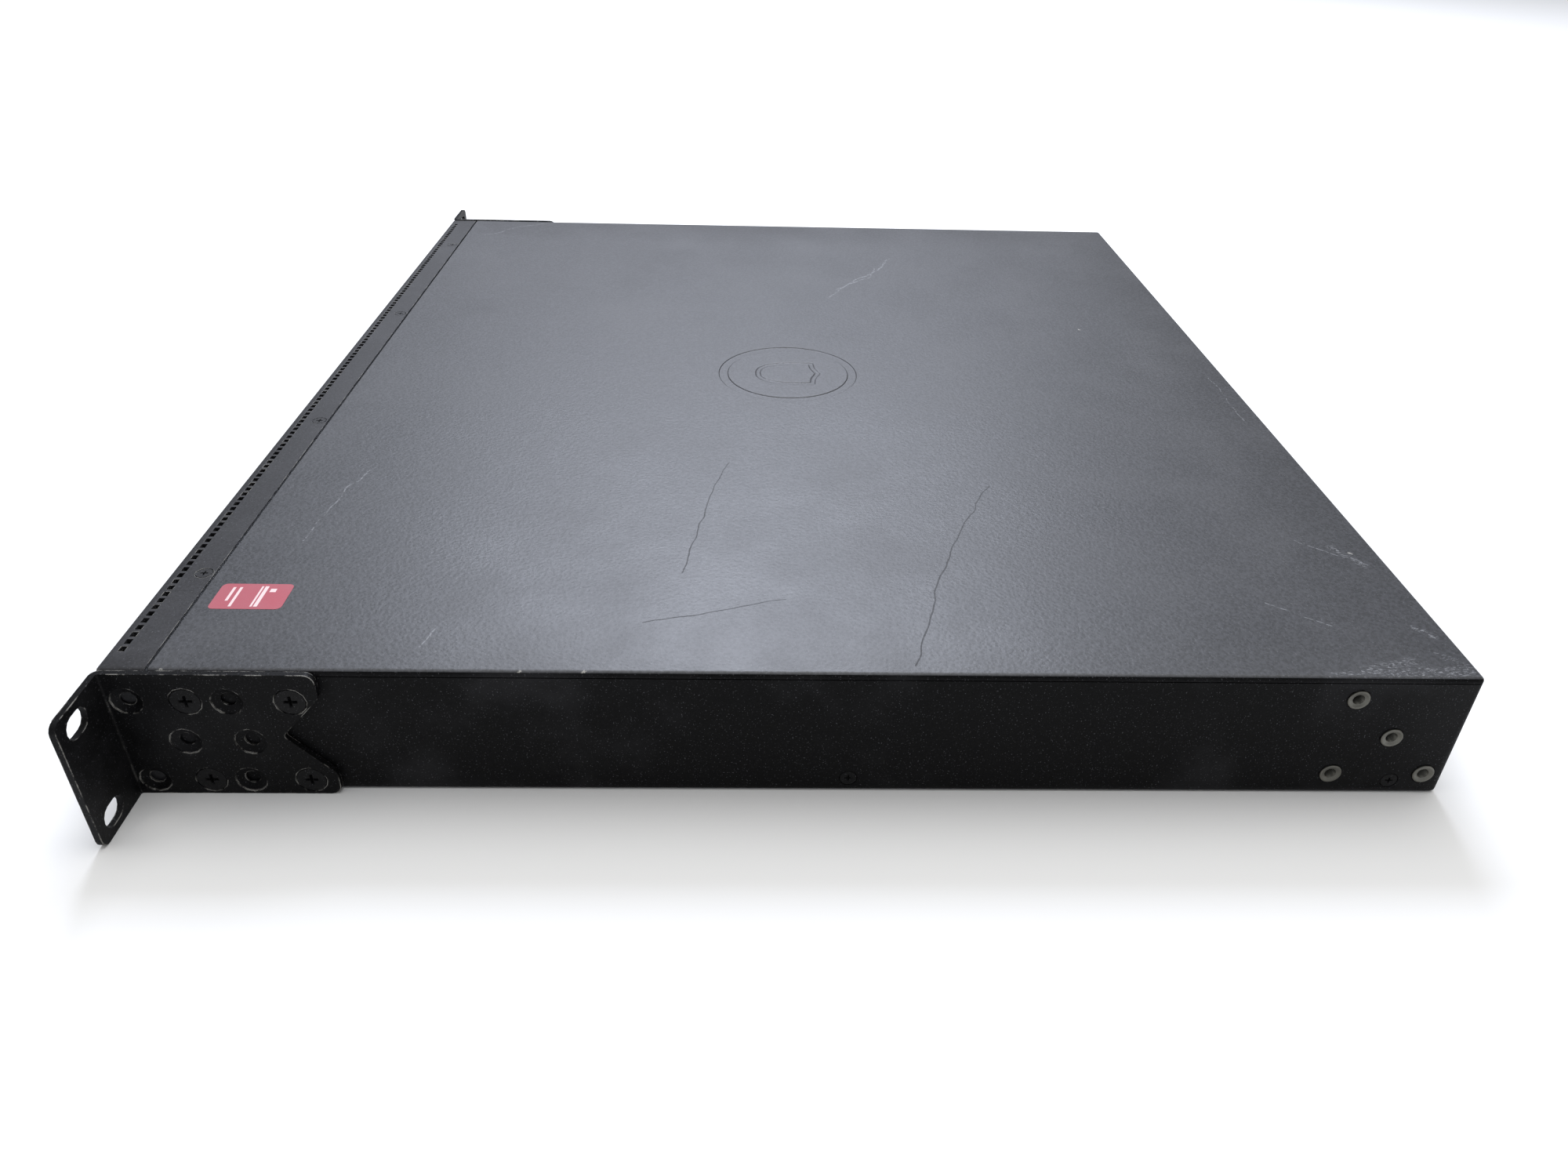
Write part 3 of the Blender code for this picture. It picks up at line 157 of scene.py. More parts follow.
def setStudio():
    half = studio["floorSize"] / 2
    mesh = bpy.data.meshes.new("floor")
    mesh.from_pydata(
        [(-half, -half, 0), (half, -half, 0), (half, half, 0), (-half, half, 0)], [], [(0, 1, 2, 3)]
    )
    floor = bpy.data.objects.new("floor", mesh)
    bpy.context.scene.collection.objects.link(floor)
    paper = newMaterial("matte_paper_sweep")[0]
    mesh.materials.append(finishMaterial(paper, {
        "Base Color": studio["floor"], "Roughness": 0.9, "Specular IOR Level": 0.1}))
    for name, place, aim, width, height, watts, tone in softLights:
        data = bpy.data.lights.new(name, "AREA")
        data.shape, data.size, data.size_y = "RECTANGLE", width, height
        data.energy, data.color = watts, linearTone(tone)[:3]
        lamp = bpy.data.objects.new(name, data)
        turn = (Vector(aim) - Vector(place)).to_track_quat("-Z", "Y")
        lamp.matrix_world = Matrix.Translation(place) @ turn.to_matrix().to_4x4()
        bpy.context.scene.collection.objects.link(lamp)
    world = bpy.data.worlds.new("pale_room")
    world.use_nodes = True
    backdrop = world.node_tree.nodes["Background"]
    backdrop.inputs[0].default_value = linearTone(studio["worldTone"])
    backdrop.inputs[1].default_value = studio["worldStrength"]
    bpy.context.scene.world = world
    bpy.context.scene.view_settings.view_transform = "Standard"


setCamera()
setStudio()
print("camera, floor and", len(softLights), "lights set")

# materials
times, minus, most = [{"operation": word} for word in ("MULTIPLY", "SUBTRACT", "MAXIMUM")]
eased = {"interpolation_type": "SMOOTHSTEP"}  # map range: 0 at the second value, 1 at the third
colours = {"data_type": "RGBA"}  # mix: the share is input 0, the colours are inputs 6 and 7, output 2


def edgeMask(add, radius):  # 1 where the surface turns sharply within the radius, in mm
    rounded = add("Bevel", {"samples": 4}, (radius * mm,))
    flat = add("NewGeometry", out="Normal")
    alike = add("VectorMath", {"operation": "DOT_PRODUCT"}, (rounded, flat), "Value")
    return add("MapRange", eased, (alike, 0.995, 0.90))


def strokes(add, where, marks, wobble):
    # marks: a width and a line of points, in mm, seen from above. The distance of a point to each
    # stretch gives a line that fades over its width; noise shifts it by the wobble
    drift = add("TexNoise", None, {"Vector": where, "Scale": 90.0, "Detail": 1.0}, "Color")
    middle = add("VectorMath", {"operation": "SUBTRACT"}, (drift, (0.5, 0.5, 0.5)))
    shift = add("VectorMath", {"operation": "MULTIPLY_ADD"}, (middle, (wobble * mm,) * 3, where))
    flat = add("VectorMath", {"operation": "MULTIPLY"}, (shift, (1, 1, 0)))
    total = None
    for width, line in marks:
        for (x0, y0), (x1, y1) in zip(line, line[1:]):
            start, run = Vector((x0, y0, 0)) * mm, Vector((x1 - x0, y1 - y0, 0)) * mm
            along = add("VectorMath", {"operation": "SUBTRACT"}, (flat, start))
            share = add("VectorMath", {"operation": "DOT_PRODUCT"}, (
                along, run / run.length_squared), "Value")
            nearest = add("VectorMath", {"operation": "SCALE"}, {
                0: run, "Scale": add("Clamp", None, (share,))})
            gap = add("VectorMath", {"operation": "DISTANCE"}, (along, nearest), "Value")
            stretch = add("MapRange", eased, (gap, width * mm, width * mm * 0.25))
            total = stretch if total is None else add("Math", most, (total, stretch))
    return total


wearMarks = {
    "pale": [
        (0.5, [(-187.6, -167.4), (-202.4, -154.5), (-214.9, -136.0)]),
        (0.75, [(-91.1, 22.4), (-118.6, 38.3), (-136.1, 51.3), (-157.1, 60.6)]),
        (0.5, [(-104.0, 28.0), (-124.0, 46.0), (-140.0, 50.0)]),
        (0.4, [(149.0, -158.3), (136.5, -158.1), (114.8, -155.7), (100.1, -151.8)]),
        (0.45, [(196.1, -104.3), (200.0, -105.8), (206.0, -106.2)]),
        (0.3, [(2.7, 184.7), (50.6, 184.6)]),
        (0.3, [(180.2, 144.7), (192.4, 158.9)]),
        (0.3, [(142.6, 167.0), (154.6, 184.3)]),
    ],
    "dark": [
        (0.35, [(106.4, 70.8), (126.5, 60.3), (149.8, 51.2), (177.5, 41.7), (213.0, 31.8)]),
        (0.3, [(90.5, -23.0), (108.8, -27.6), (146.6, -33.3), (165.6, -35.6)]),
        (0.3, [(193.3, -45.9), (189.1, -32.4), (185.6, -20.9), (180.0, -4.4)]),
    ],
    "scuff": [
        (3.2, [(214.5, 158.4), (209.5, 174.3)]),
        (2.6, [(215.0, 164.5), (212.5, 188.0)]),
        (1.5, [(215.3, 148.0), (214.6, 190.0)]),
        (1.8, [(192.1, 182.8), (196.8, 187.6)]),
        (2.2, [(205.7, 184.2), (214.1, 191.2)]),
        (2.0, [(146.0, 178.0), (158.0, 184.0)]),
    ],
    "chip": [
        (0.7, [(217.1, -77.9), (216.6, -77.4)]), (0.8, [(216.9, -60.6), (216.4, -60.1)]),
        (1.0, [(210.3, -191.1), (211.0, -190.0)]), (0.9, [(217.2, -175.3), (216.6, -174.6)]),
        (0.7, [(-52.5, 140.6), (-51.9, 141.2)]), (0.7, [(149.8, 182.5), (150.3, 183.0)]),
    ],
}


def powderCoat(name, tone, valleyShade, rough, sheen, grainSize=0.9, depth=0.05, worn=0.5, marked=False):
    # thermoset powder sprayed on steel and baked: a fine orange-peel grain that glitters softly
    # where it faces the light, thinned and rubbed bright along the folds
    material, add, where, (grain, clouds, speck) = newMaterial(
        name, [(grainSize, 3, 0.6), (45, 4, 0.6), (0.45, 1, 0.5)])
    peel = add("TexVoronoi", {"feature": "SMOOTH_F1"}, {
        "Vector": where, "Scale": 1 / (grainSize * 1.35 * mm), "Smoothness": 0.7}, "Distance")
    height = add("Math", {"operation": "MULTIPLY_ADD"}, (
        peel, 0.5, add("Math", times, (grain, 0.65))))
    # the grain's low points take the darker tone: painted shade in its valleys
    colour = add("Mix", colours, {
        0: add("MapRange", eased, (height, 0.35, 0.75)), 6: valleyShade, 7: tone}, 2)
    roughness = add("MapRange", None, (clouds, 0.3, 0.7, rough - 0.04, rough + 0.05))
    layers = [
        (add("MapRange", eased, (speck, 0.66, 0.74, 0.0, 0.3)), "#77787d"),  # dust
        (add("MapRange", eased, (clouds, 0.45, 0.75, 0.0, 0.22)), "#48484b"),  # haze
    ]
    bare = None
    if worn:
        patches = add("TexNoise", None, {
            "Vector": where, "Scale": 1 / (5 * mm), "Detail": 4.0, "Roughness": 0.7})
        rubbed = add("MapRange", eased, (patches, 0.46, 0.62))
        bare = add("Math", times, (edgeMask(add, worn), rubbed))
    if marked:
        strands = add("TexNoise", None, {
            "Vector": where, "Scale": 1 / (1.6 * mm), "Detail": 3.0, "Roughness": 0.7})
        fibres = add("TexNoise", None, {
            "Vector": add("Mapping", None, {"Vector": where, "Scale": (2.2, 0.8, 1)}),
            "Scale": 1 / (1.2 * mm), "Detail": 4.0, "Roughness": 0.75})
        # these three are broken up by a noise
        pale, scuff, chip = (
            add("Math", times, (strokes(add, where, wearMarks[kind], wobble),
                                add("MapRange", eased, (noise, low, high))))
            for kind, wobble, noise, low, high in (
                ("pale", 5.0, strands, 0.42, 0.58), ("scuff", 4.0, fibres, 0.51, 0.62),
                ("chip", 1.5, speck, 0.40, 0.50)))
        dark = strokes(add, where, wearMarks["dark"], 3.0)
        pale = add("Math", most, (add("Math", times, (pale, 0.34)), add("Math", times, (scuff, 0.46))))
        # the dark scratches are real rougher grooves, and their darker colour is painted shade for the
        # reflection they lose
        layers += [(pale, "#a6a8ad"), (add("Math", times, (dark, 0.3)), "#1a1a1d")]
        roughness = add("Math", {"operation": "MULTIPLY_ADD"}, (dark, 0.2, roughness))
        height = add("Math", minus, (height, add("Math", times, (dark, 0.25))))
        bare = chip if bare is None else add("Math", most, (bare, chip))
    if bare is not None:
        layers.append((add("Math", times, (bare, 0.75)), "#b4b2ac"))
    for share, layer in layers:
        colour = add("Mix", colours, {0: share, 6: colour, 7: layer}, 2)
    return finishMaterial(material, {
        "Base Color": colour, "Roughness": roughness, "IOR": 1.5, "Specular IOR Level": sheen},
        height, depth)


def metal(name, tone, dull, rough, grainSize=0.6, streak=(1, 1, 1), depth=0.01):
    # bare or plated metal: streaks of rolling or turning, small stains, and no paint
    material, add, where, (stain,) = newMaterial(name, [(16, 3, 0.55)])
    streaks = add("TexNoise", None, {
        "Vector": add("Mapping", None, {"Vector": where, "Scale": streak}),
        "Scale": 1 / (grainSize * mm), "Detail": 3.0, "Roughness": 0.6})
    colour = tone
    for mask in ((stain, 0.38, 0.75, 0.0, 0.6), (streaks, 0.5, 0.8, 0.0, 0.35)):
        colour = add("Mix", colours, {0: add("MapRange", eased, mask), 6: colour, 7: dull}, 2)
    roughness = add("MapRange", None, (streaks, 0.2, 0.8, rough - 0.07, rough + 0.07))
    return finishMaterial(material, {
        "Base Color": colour, "Roughness": roughness, "Metallic": 1.0}, streaks, depth, 0.6)


def plastic(name, tone, worn, rough, grainSize=0.5, depth=0.012, wear=0.4):
    # injection-moulded: a spark-eroded texture from the mould, corners polished by handling
    material, add, _, (grain, smear) = newMaterial(name, [(grainSize, 2, 0.5), (14, 3, 0.6)])
    rubbed = add("Math", times, (edgeMask(add, 0.4), wear))
    colour = tone
    for share in (rubbed, add("MapRange", eased, (smear, 0.5, 0.8, 0.0, 0.2))):
        colour = add("Mix", colours, {0: share, 6: colour, 7: worn}, 2)
    roughness = add("MapRange", None, (smear, 0.2, 0.8, rough - 0.05, rough + 0.05))
    return finishMaterial(material, {
        "Base Color": colour, "Roughness": roughness, "IOR": 1.55}, grain, depth, 0.6)


def lens(name, tone, milky):
    # moulded polycarbonate, milky from the flow lines inside it, glossy outside
    material, add, _, (milk,) = newMaterial(name, [(2, 3, 0.5)])
    return finishMaterial(material, {
        "Base Color": add("Mix", colours, {0: milk, 6: tone, 7: milky}, 2), "Roughness": 0.16,
        "IOR": 1.585, "Subsurface Weight": 0.3, "Subsurface Radius": (0.002, 0.002, 0.002)})


def circuitBoard(name):
    # glass-epoxy laminate under green solder mask: copper shows through as paler tracks and pads
    material, add, where, (weave,) = newMaterial(name, [(0.5, 2, 0.5)])
    tracks = add("TexBrick", {"offset": 0.5}, {
        "Vector": where, "Scale": 1 / (6 * mm), "Mortar Size": 0.03, "Mortar Smooth": 0.2,
        "Color1": "#0b3d22", "Color2": "#0e4a2a", "Mortar": "#1c6b3f"})
    pads = add("TexVoronoi", {"distance": "CHEBYCHEV"}, {
        "Vector": where, "Scale": 1 / (2.6 * mm), "Randomness": 0.35}, "Distance")
    tinned = add("MapRange", eased, (pads, 0.13, 0.09))
    return finishMaterial(material, {
        "Base Color": add("Mix", colours, {0: tinned, 6: tracks, 7: "#9fa58d"}, 2),
        "Roughness": 0.38, "IOR": 1.55}, weave, 0.02, 0.5)


labelSetup = {
    "middle": (181.1, -163.2), "size": (13.4, 21.4), "corner": 1.7, "film": 0.08,
    # white bars: middle and half size, in mm from the label's middle
    "bars": ((-1.2, -6.6, 3.6, 0.42), (0.3, -4.6, 5.1, 0.42), (0.0, 1.6, 5.4, 0.30),
             (0.0, 2.9, 5.4, 0.55), (-3.2, 5.3, 0.9, 0.9)),
}


def labelPaper():
    # glossy vinyl, printed rose red and sun-faded, with white bars where print would be
    material, add, where, (fade, wrinkles) = newMaterial(
        "printed_vinyl_label", [(9, 2, 0.5), (3, 3, 0.5)])
    x, y = labelSetup["middle"]
    away = add("VectorMath", {"operation": "SUBTRACT"}, (where, (x * mm, y * mm, 0)))
    parts = [add("SeparateXYZ", None, (away,), axis) for axis in "XY"]
    white = None
    for cx, cy, hx, hy in labelSetup["bars"]:
        gaps = []
        for place, middle, half in ((parts[0], cx, hx), (parts[1], cy, hy)):
            offset = add("Math", {"operation": "ABSOLUTE"}, (
                add("Math", minus, (place, middle * mm)),))
            gaps.append(add("Math", minus, (offset, half * mm)))
        bar = add("MapRange", eased, (add("Math", most, tuple(gaps)), 0.08 * mm, -0.08 * mm))
        white = bar if white is None else add("Math", most, (white, bar))
    colour = add("Mix", colours, {0: fade, 6: "#b04f5c", 7: "#a8636d"}, 2)
    colour = add("Mix", colours, {0: add("Math", times, (white, 0.75)), 6: colour, 7: "#f3e6e6"}, 2)
    return finishMaterial(material, {
        "Base Color": colour, "Roughness": 0.30, "IOR": 1.48, "Coat Weight": 0.3}, wrinkles, 0.05, 0.4)


looks = {
    "cover": powderCoat(
        "wrinkle_powder_coat_cover", "#3b3c40", "#2a2b2e", 0.44, 0.5, 0.9, 0.08, worn=0, marked=True),
    "case": powderCoat("satin_powder_coat_case", "#0f0f10", "#0b0b0c", 0.50, 0.07, 0.7, 0.03, 0),
    "strip": powderCoat("satin_powder_coat_front", "#29292c", "#1e1e20", 0.45, 0.36, 0.7, 0.03, 0.3),
    "ear": powderCoat("satin_black_ear_coat", "#0d0d0e", "#09090a", 0.50, 0.08, 0.6, 0.03),
    "zinc": metal("zinc_plated_steel", "#b4b6b8", "#999b9d", 0.34),
    "insert": metal("turned_steel_insert", "#6d6c66", "#45443f", 0.42, 0.3),
    "blackScrew": powderCoat("black_painted_screw", "#111112", "#0c0c0d", 0.48, 0.12, 0.5, 0.01, 0),
    # the same black screws in a lighter tone: a painted highlight of the far light on the screws that face
    # up
    "stripScrew": powderCoat("satin_painted_screw", "#222225", "#1a1a1c", 0.46, 0.34, 0.5, 0.01, 0),
    "shell": metal("nickel_plated_shell", "#c8c6c0", "#9d9b96", 0.26),
    "gold": metal("gold_flashed_contact", "#d6a94e", "#b98a3a", 0.25, 0.2),
    "aluminium": metal("extruded_aluminium", "#b8babd", "#8f9195", 0.36, 0.5, (8, 1, 8)),
    "canAluminium": metal("capacitor_can_aluminium", "#c3c5c8", "#94969a", 0.30, 0.4),
    "battery": metal("stainless_battery_can", "#cfcdc8", "#a3a19c", 0.22),
    "blackPlastic": plastic("moulded_black_polyester", "#141415", "#3a3a3c", 0.45),
    "fanPlastic": plastic("moulded_fan_black", "#101011", "#2e2e30", 0.38),
    "latch": plastic("moulded_release_blue", "#1f5f9e", "#5b8fc2", 0.4),
    "chip": plastic("moulded_chip_epoxy", "#19191b", "#343437", 0.55, 0.3, 0.008, 0.2),
    "tape": plastic("polyester_winding_tape", "#c9a235", "#dcc27a", 0.35, 0.8, 0.01, 0.2),
    "clear": lens("polycarbonate_light_guide", "#dfe9da", "#cfdccb"),
    "greenLens": lens("green_polycarbonate_lens", "#2f8f45", "#5fb873"),
    "amberLens": lens("amber_polycarbonate_lens", "#c98420", "#e0ab58"),
    "board": circuitBoard("green_solder_mask_board"),
    "label": labelPaper(),
}
# each slot of the part and the looks that stand for it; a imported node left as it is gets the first
slotLooks = {
    "powder_coat": ("case", "cover", "strip", "label"), "ear_coat": ("ear",),
    "black_screw": ("blackScrew", "stripScrew"), "zinc_steel": ("zinc", "insert"),
    "port_shell": ("shell", "gold"), "clear_plastic": ("clear", "greenLens", "amberLens"),
    "aluminium": ("aluminium", "canAluminium"), "circuit_board": ("board",),
    "latch_plastic": ("latch", "tape"), "battery_steel": ("battery",),
    "black_plastic": ("blackPlastic", "fanPlastic", "chip"),
}
nodeSlots = {name: node.data.materials[0].name.split(".")[0] for name, node in cadNodes.items()}
for name, node in cadNodes.items():
    for holder in node.material_slots:
        holder.material = looks[slotLooks[nodeSlots[name]][0]]
print("materials made:", len(looks), "and given to", len(cadNodes), "nodes")


# shapes
def boxOf(node):  # its low and high corners
    return [np.array(corner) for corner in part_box(node)]


def piece(name, grids, look, node, replaced=False, crease=35, closed=True):
    # each grid is points[row, column]; neighbours make a quad, doubled points close seams and poles.
    # The piece rides on the node's body, and takes the node's place if replaced
    points, quads, count = [], [], 0
    for grid in grids:
        rows, columns = grid.shape[:2]
        index = np.arange(rows * columns).reshape(rows, columns) + count
        quads.append(np.stack(
            [index[:-1, :-1], index[:-1, 1:], index[1:, 1:], index[1:, :-1]], axis=-1).reshape(-1, 4))
        points.append(grid.reshape(-1, 3))
        count += rows * columns
    mesh = bpy.data.meshes.new(name)
    mesh.from_pydata(np.concatenate(points).tolist(), [], np.concatenate(quads).tolist())
    bm = bmesh.new()
    bm.from_mesh(mesh)
    bmesh.ops.remove_doubles(bm, verts=bm.verts, dist=1e-6)
    bmesh.ops.dissolve_degenerate(bm, edges=bm.edges, dist=1e-7)
    if closed:
        bmesh.ops.recalc_face_normals(bm, faces=bm.faces)
    bm.to_mesh(mesh)
    bm.free()
    return settle(name, mesh, look, node, replaced, crease)


def settle(name, mesh, look, node, replaced, crease):
    mesh.polygons.foreach_set("use_smooth", np.ones(len(mesh.polygons), bool))
    mesh.set_sharp_from_angle(angle=radians(crease))
    mesh.materials.clear()
    mesh.materials.append(looks[look])
    made = bpy.data.objects.new(name, mesh)
    bpy.context.scene.collection.objects.link(made)
    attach(made, bodyOf[node])
    if replaced:
        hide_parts(node)
    return made


def softened(node, look, width):
    # a merged copy of a CAD node with its edges broken by a small bevel
    mesh = cadNodes[node].data.copy()
    bm = bmesh.new()
    bm.from_mesh(mesh)
    bmesh.ops.remove_doubles(bm, verts=bm.verts, dist=5e-6)
    bmesh.ops.dissolve_limit(bm, angle_limit=radians(1), verts=bm.verts, edges=bm.edges)
    bm.to_mesh(mesh)
    bm.free()
    made = settle(node + "_finished", mesh, look, node, True, 30)
    edge = made.modifiers.new("broken_edges", "BEVEL")
    edge.width, edge.segments = width * mm, 2
    edge.limit_method, edge.angle_limit = "ANGLE", radians(40)
    edge.harden_normals = True
    return made


def turned(profile, centre, axis, segments=48):
    # each (radius, height) of the profile goes round the axis once
    radius, height = np.array(profile, float).T
    angle = np.linspace(0, 2 * pi, segments + 1)
    out = Vector(axis).normalized()
    side = out.orthogonal().normalized()
    third = out.cross(side)
    ring = np.cos(angle)[:, None] * np.array(side) + np.sin(angle)[:, None] * np.array(third)
    return (np.array(centre) + radius[:, None, None] * ring[None]
            + height[:, None, None] * np.array(out))


def roundedOutline(width, height, radius, steps=5):
    # a rectangle whose corners are quarter circles, as a closed loop of points
    angle = np.linspace(0, pi / 2, steps)
    loop = []
    for quarter, (sx, sy) in enumerate(((1, 1), (-1, 1), (-1, -1), (1, -1))):
        turn = angle + quarter * pi / 2
        loop.append(np.stack([
            sx * (width / 2 - radius) + radius * np.cos(turn),
            sy * (height / 2 - radius) + radius * np.sin(turn)], axis=1))
    loop = np.concatenate(loop)
    return np.concatenate([loop, loop[:1]])


def slab(outline, centre, depth, axis="z", chamfer=0.0001):
    # an outline swept along the axis, closed at both ends, its edges cut back by the chamfer
    outline = np.asarray(outline, float)
    middle = outline[:-1].mean(0)
    reach = np.linalg.norm(outline - middle, axis=1).max()
    inner = middle + (outline - middle) * (1 - chamfer / reach)
    rows = [(middle + 0 * outline, 0), (inner, 0), (outline, chamfer), (outline, depth - chamfer),
            (inner, depth), (middle + 0 * outline, depth)]
    grid = np.stack([
        np.column_stack([flat, np.full(len(flat), level - depth / 2)]) for flat, level in rows])
    order = {"z": (0, 1, 2), "y": (0, 2, 1)}[axis]
    return grid[:, :, order] + np.array(centre)


def block(low, high, radius=0.0004, chamfer=0.00015, axis="z", steps=3):
    low, high = np.array(low, float), np.array(high, float)
    size, centre = high - low, (low + high) / 2
    width, height, depth = size if axis == "z" else size[[0, 2, 1]]
    radius = min(radius, width / 2.01, height / 2.01)
    return slab(roundedOutline(width, height, radius, steps), centre, depth, axis, chamfer)


def bar(middle, shift, half, depths, radius, chamfer):
    # a block along y, from one depth to the other; shift, half size, radius and chamfer in mm
    (x, z), (dx, dz), (width, height) = (np.array(pair) for pair in (middle, shift, half))
    return block((x + (dx - width) * mm, depths[0], z + (dz - height) * mm),
                 (x + (dx + width) * mm, depths[1], z + (dz + height) * mm),
                 radius * mm, chamfer * mm, "y")


def oblong(width, height):  # half sizes in mm, as a closed profile
    return np.array([(-width, -height), (width, -height), (width, height), (-width, height),
                     (-width, -height)]) * mm


def carried(path, profile, upward=(0, 0, 1)):
    # a closed profile (across, up) carried along a path; across is at right angles to path and upward
    path, profile = np.array(path, float), np.array(profile, float)
    ahead = np.gradient(path, axis=0)
    ahead /= np.linalg.norm(ahead, axis=1)[:, None]
    across = np.cross(ahead, np.array(upward, float))
    across /= np.linalg.norm(across, axis=1)[:, None]
    up = np.cross(across, ahead)
    body = path[:, None] + profile[None, :, :1] * across[:, None] + profile[None, :, 1:] * up[:, None]
    ends = [np.repeat(path[i][None, None], len(profile), axis=1) for i in (0, -1)]
    return np.concatenate([ends[0], body, ends[1]])


def circle(radius, segments=16):
    angle = np.linspace(0, 2 * pi, segments + 1)
    return np.stack([np.cos(angle), np.sin(angle)], axis=1) * radius


# folded and moulded pieces whose CAD shape is right: the same shape with broken edges
brokenEdges = [
    # look, bevel in mm, nodes
    ("case", 0.15, ["chassis_base"]),
    ("strip", 0.12, ["front_panel"]),
    ("ear", 0.3, ["rack_ear_right", "rack_ear_left"]),
    ("zinc", 0.15, ["power_supply_1_housing", "power_supply_2_housing"]),
    ("fanPlastic", 0.25, ["fan_module_1_frame", "fan_module_2_frame", "fan_module_3_frame"]),
    ("blackPlastic", 0.2, ["power_supply_1_inlet", "power_supply_2_inlet"]),
    ("aluminium", 0.12, ["processor_heatsink", "switch_heatsink"]),
    ("shell", 0.15, ["lan_ports", "console_ports", "usb_ports", "sfp_cages"]),
    ("zinc", 0.4, ["storage_module"]),
    ("clear", 0.15, ["status_lights"]),
    ("zinc", 0.1, ["seam_rail"]),
]
for look, width, nodes in brokenEdges:
    for node in nodes:
        softened(node, look, width)
print("edges broken")

# top cover
coverSetup = {
    "fold": 1.5, "sheet": 0.7, "raysPerSide": 150, "cornerRays": 5,
    "badge": (5.8, 0.5), "badgeOuter": 29.6, "badgeInner": 25.8, "press": 0.32, "slope": 0.4,
    "shieldSize": 13.5, "shieldLine": 0.8,
    "edgeDrop": 0.4,  # below this depth the fold takes the darker case look, a painted shade
}


def shieldLine(size):
    # half a shield from its top to its bottom point: a shallow peak, a straight side, then an arc
    side = np.array([(0, 0.95), (0.42, 0.80), (0.80, 0.76), (0.80, 0.10)])
    turn = np.linspace(0, 1, 12)[1:]
    arc = np.stack([0.80 * np.cos(turn * pi / 2) ** 0.8, 0.10 - 1.05 * np.sin(turn * pi / 2)], axis=1)
    half = np.concatenate([side, arc])
    return np.concatenate([half, half[-2::-1] * (-1, 1)]) * size


def lineDistance(points, line):
    # smallest distance from each point to the segments of a line
    start, run = line[:-1], np.diff(line, axis=0)
    away = points[..., None, :] - start
    share = np.clip((away * run).sum(-1) / (run ** 2).sum(-1), 0, 1)
    return np.linalg.norm(away - share[..., None] * run, axis=-1).min(-1)


def easeStep(value, low, high):
    share = np.clip((value - low) / (high - low), 0, 1)
    return share * share * (3 - 2 * share)


